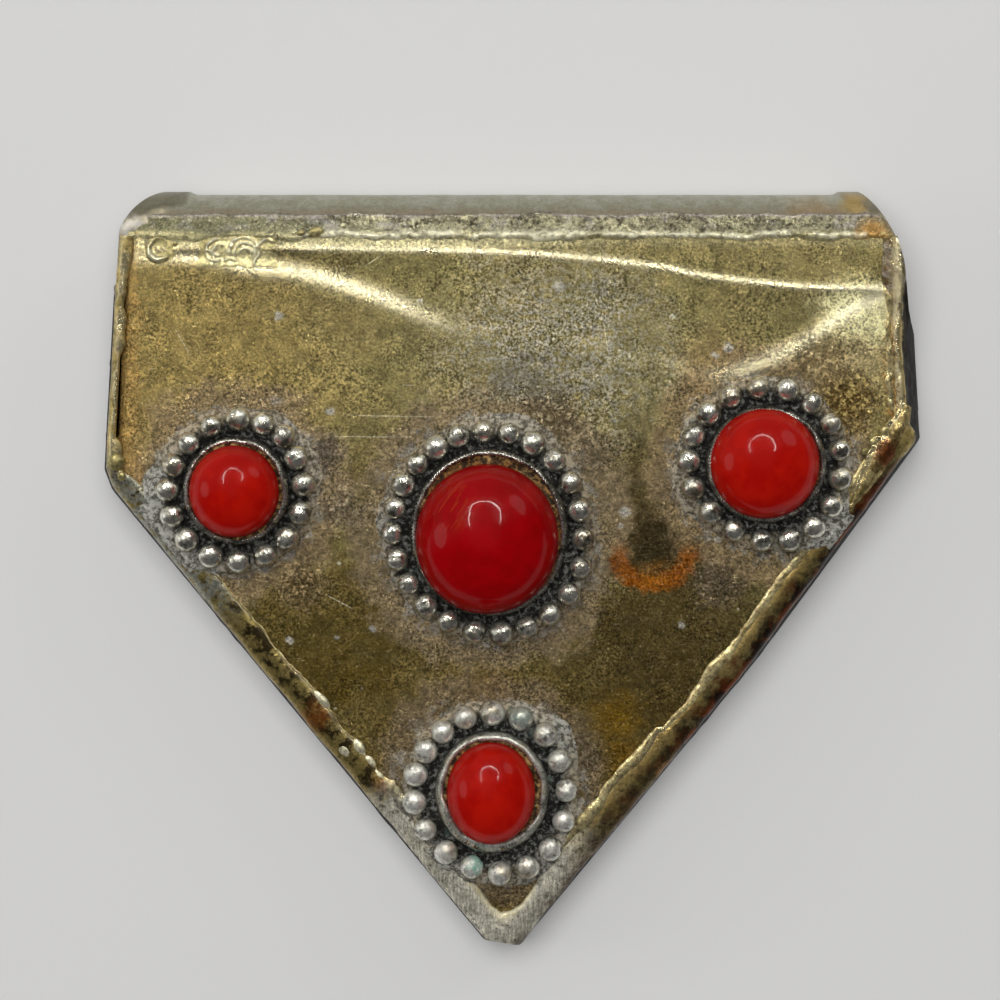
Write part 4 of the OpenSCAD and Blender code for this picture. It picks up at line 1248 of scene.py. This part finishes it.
chance = random.Random(11)
for name, x, y, ring_r, bows, count, first, waves, bezel_x, bezel_y, _ in settings:
    at_bottom = name == "bottom"
    granules = bmesh.new()
    for i in range(count):
        base = i * 360 / count
        angle = first + base + sum(swing(waves[2 * k], k + 1, base, waves[2 * k + 1]) for k in range(3))
        reach = ring_reach(ring_r, bows, angle) + chance.uniform(-0.05, 0.05)
        size = granule_r * chance.uniform(0.96, 1.08)
        turn = Matrix.Rotation(chance.uniform(0, 6), 4, "Y") @ Matrix.Rotation(chance.uniform(0, 6), 4, "X")
        made = bmesh.ops.create_uvsphere(granules, u_segments=24, v_segments=18, radius=size)["verts"]
        groove = groove_depth if chance.random() < groove_share else 0
        for v in made:
            v.co *= 1 - groove * hill(v.co.z / 0.06)
        bmesh.ops.transform(granules, matrix=turn, verts=made)
        for v in made:
            v.co *= 1 + 0.05 * noise.noise(v.co * 1.3 + Vector((i * 7, x, y)))
            v.co.z *= 0.94
        way = math.radians(angle)
        bmesh.ops.translate(granules, verts=made,
                            vec=(reach * math.cos(way), reach * math.sin(way), plate_t + granule_lift))
    on_face(granules, x, y)
    set_down(granules, "granules_" + name, white_bright if at_bottom else white_metal, "setting_" + name)

    crust = bmesh.new()
    frost = crust.verts.layers.float.new("frost")
    for v, turn, t in add_grid(crust, 220, 22):
        a = math.tau * turn
        degrees = math.degrees(a)
        ring = ring_reach(ring_r, bows, degrees)
        inner = bezel_x - 0.5
        flood = sum(size * hill(((degrees - way + 180) % 360 - 180) / width)
                    for way, width, size in crust_floods[name])
        outer = ring + 1.0 + flood + 0.40 * waver_round(2.1, a, x)
        outer += 0.22 * waver_round(7, a, x)
        r = inner + (outer - inner) * t
        px, py = r * math.cos(a), r * math.sin(a)
        bumps = waver(px / 0.55, py / 0.55, x) + 0.6 * waver(px / 0.25, py / 0.25, x)
        beyond = clamp((r - ring - 0.2) / max(outer - ring - 0.2, 0.1))
        mound = 0.30 + min(flood, 1.2) * 0.22 * math.sin(math.pi * min(beyond * 1.15, 1))
        z = mound * (1 - beyond ** 1.5) + 0.14 * bumps * (1 - 0.5 * beyond) - 0.30 * beyond ** 3
        v.co = (px, py, z)
        v[frost] = min(flood * 0.8, 1)
    close_and_lay(crust, upwards, x, y)
    # it ends at the rim, and hangs down a little there
    for v in crust.verts:
        for i in range(7):
            point, inward = inset_line(i, 1.0)
            short = (v.co.to_2d() - point).dot(inward)
            if short < 0:
                v.co.x, v.co.y = v.co.x - inward.x * short, v.co.y - inward.y * short
                v.co.z -= min(-short, 0.5) * 0.8
    set_down(crust, "crust_" + name, crust_finish(name, x, y, ring_r), "setting_" + name, crust_t)

    bezel = bmesh.new()
    notches = round(bezel_x * notches_per_mm)
    for v, turn, t in add_grid(bezel, notches * 2, 6):
        a = math.tau * turn
        notched = round((v.co.x + 1) * notches) % 2 and t > 0.8
        rx = bezel_x + 0.04 * waver_round(3, a, x)
        ry = bezel_y + rx - bezel_x
        bent = waver_round(2.5, a, y)
        lean = 0.20 * t ** 3 + 0.14 * bent * t ** 2 + (0.09 if notched else 0)
        if at_bottom:
            lean += 0.45 * max(-math.sin(a + 0.3), 0) * t ** 2
        z = plate_t + (bezel_top - 0.05 + 0.12 * bent - plate_t) * t - (0.15 if notched else 0)
        v.co = ((rx - lean) * math.cos(a), (ry - lean) * math.sin(a), z)
    close_and_lay(bezel, outwards, x, y)
    set_down(bezel, "bezel_" + name, bezel_bright if at_bottom else bezel_metal, "setting_" + name,
             thick_bezel_t if at_bottom else bezel_t)

# Cement that beds each stone: an orange-brown crumbly paste, showing in places
# between the stone and the bezel.
bed_top = 1.35
bed_t = 0.6


def cement_finish():
    """Pale brown crumbs with dark gaps between them"""
    f = Finish("crumbly_cement")
    tone = f.blend(f.cloud(0.5, 2.0, 0.5, 0.42, 0.60), (0.36, 0.17, 0.05), (0.54, 0.36, 0.14))
    f.colour = f.blend(f.cloud(2.6, 5.0, 0.7, 0.45, 0.62), (0.035, 0.02, 0.01), tone)
    return f.done(0.0, 0.85, f.grain(4.0, 5.0, 0.7), 0.15)


cement = cement_finish()
for name, x, y, *_, bezel_x, bezel_y, bed_r in settings:
    bed = bmesh.new()
    rx, ry = bezel_x - 0.28, bezel_y - 0.28
    inner = bed_r - 0.35
    for v, turn, t in add_grid(bed, 110, 8):
        a = math.tau * turn
        outer = rx * ry / math.hypot(ry * math.cos(a), rx * math.sin(a))
        r = inner + (outer - inner) * t
        px, py = r * math.cos(a), r * math.sin(a)
        lump = waver(px / 0.45, py / 0.45, y)
        v.co = (px, py, bed_top + 0.28 * lump + 0.25 * waver_round(1.5, a, y))
    close_and_lay(bed, upwards, x, y)
    set_down(bed, "cement_" + name, cement, "bed_" + name, bed_t)

# Round cabochons of opaque red glass, ground domed, polished, and set in the
# cement inside their bezels.
stone_foot, stone_foot_share, stone_girdle = 0.7, 0.98, 1.4
dome_steps, dome_turns = 36, 110
# Middle of each on the face, half widths, and height of its top
stones = {"centre": (-1.75, 2.32, 4.85, 5.09, 5.30), "left": (-18.83, 5.54, 3.05, 3.12, 3.90),
          "right": (17.0, 7.41, 3.70, 3.73, 4.30), "bottom": (-1.48, -14.94, 3.02, 3.49, 4.00)}


def red_glass_finish(name, light, dark):
    """Opaque red glass under a polish, with paler streaks along the grinding marks of the large stone"""
    f = Finish(name)
    f.colour = f.blend(f.cloud(0.6, 3.0, 0.6, 0.35, 0.65), light, dark)
    marks = f.ease(f.grain(1.0, 3.0, 0.6, stretch=(0.45, 4.2, 1.0, 56)), 0.52, 0.64)
    f.over(f.times(marks, f.stain((-4.6, 4.6), 0.8, 2.6, 0.5)), (0.42, 0.045, 0.010))
    polish = f.tree.nodes["Principled BSDF"].inputs
    polish["Coat Weight"].default_value = 0.26
    polish["Coat Roughness"].default_value = 0.03
    return f.done(0.0, 0.25, f.grain(0.5, 2.0, 0.5), 0.02, 0.05)


red_glass = red_glass_finish("red_glass", (0.47, 0.008, 0.003), (0.39, 0.004, 0.002))
deep_glass = red_glass_finish("deep_red_glass", (0.35, 0.001, 0.003), (0.29, 0.001, 0.002))
for name, (x, y, rx, ry, top) in stones.items():
    dome = bmesh.new()
    last = None
    for k in range(dome_steps + 1):
        a = math.pi / 2 * k / dome_steps
        here = dome.verts.new((math.cos(a), 0, stone_girdle + (top - stone_girdle) * math.sin(a)))
        if last is not None:
            dome.edges.new((last, here))
        last = here
    foot = dome.verts.new((stone_foot_share, 0, stone_foot))
    dome.verts.ensure_lookup_table()
    dome.edges.new((dome.verts[0], foot))
    foot_middle = dome.verts.new((0, 0, stone_foot))
    dome.edges.new((foot, foot_middle))
    bmesh.ops.spin(dome, geom=dome.verts[:] + dome.edges[:], cent=(0, 0, 0), axis=(0, 0, 1),
                   angle=math.tau, steps=dome_turns, use_merge=True)
    bmesh.ops.remove_doubles(dome, verts=dome.verts, dist=0.0005)
    bmesh.ops.recalc_face_normals(dome, faces=dome.faces)
    for v in dome.verts:
        v.co.x, v.co.y = v.co.x * rx, v.co.y * ry
        v.co *= 1 + 0.004 * noise.noise(v.co / 1.1 + Vector((x, y, 0)))
    on_face(dome, x, y)
    set_down(dome, "cabochon_" + name, deep_glass if name == "centre" else red_glass, "stone_" + name)

low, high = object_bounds()
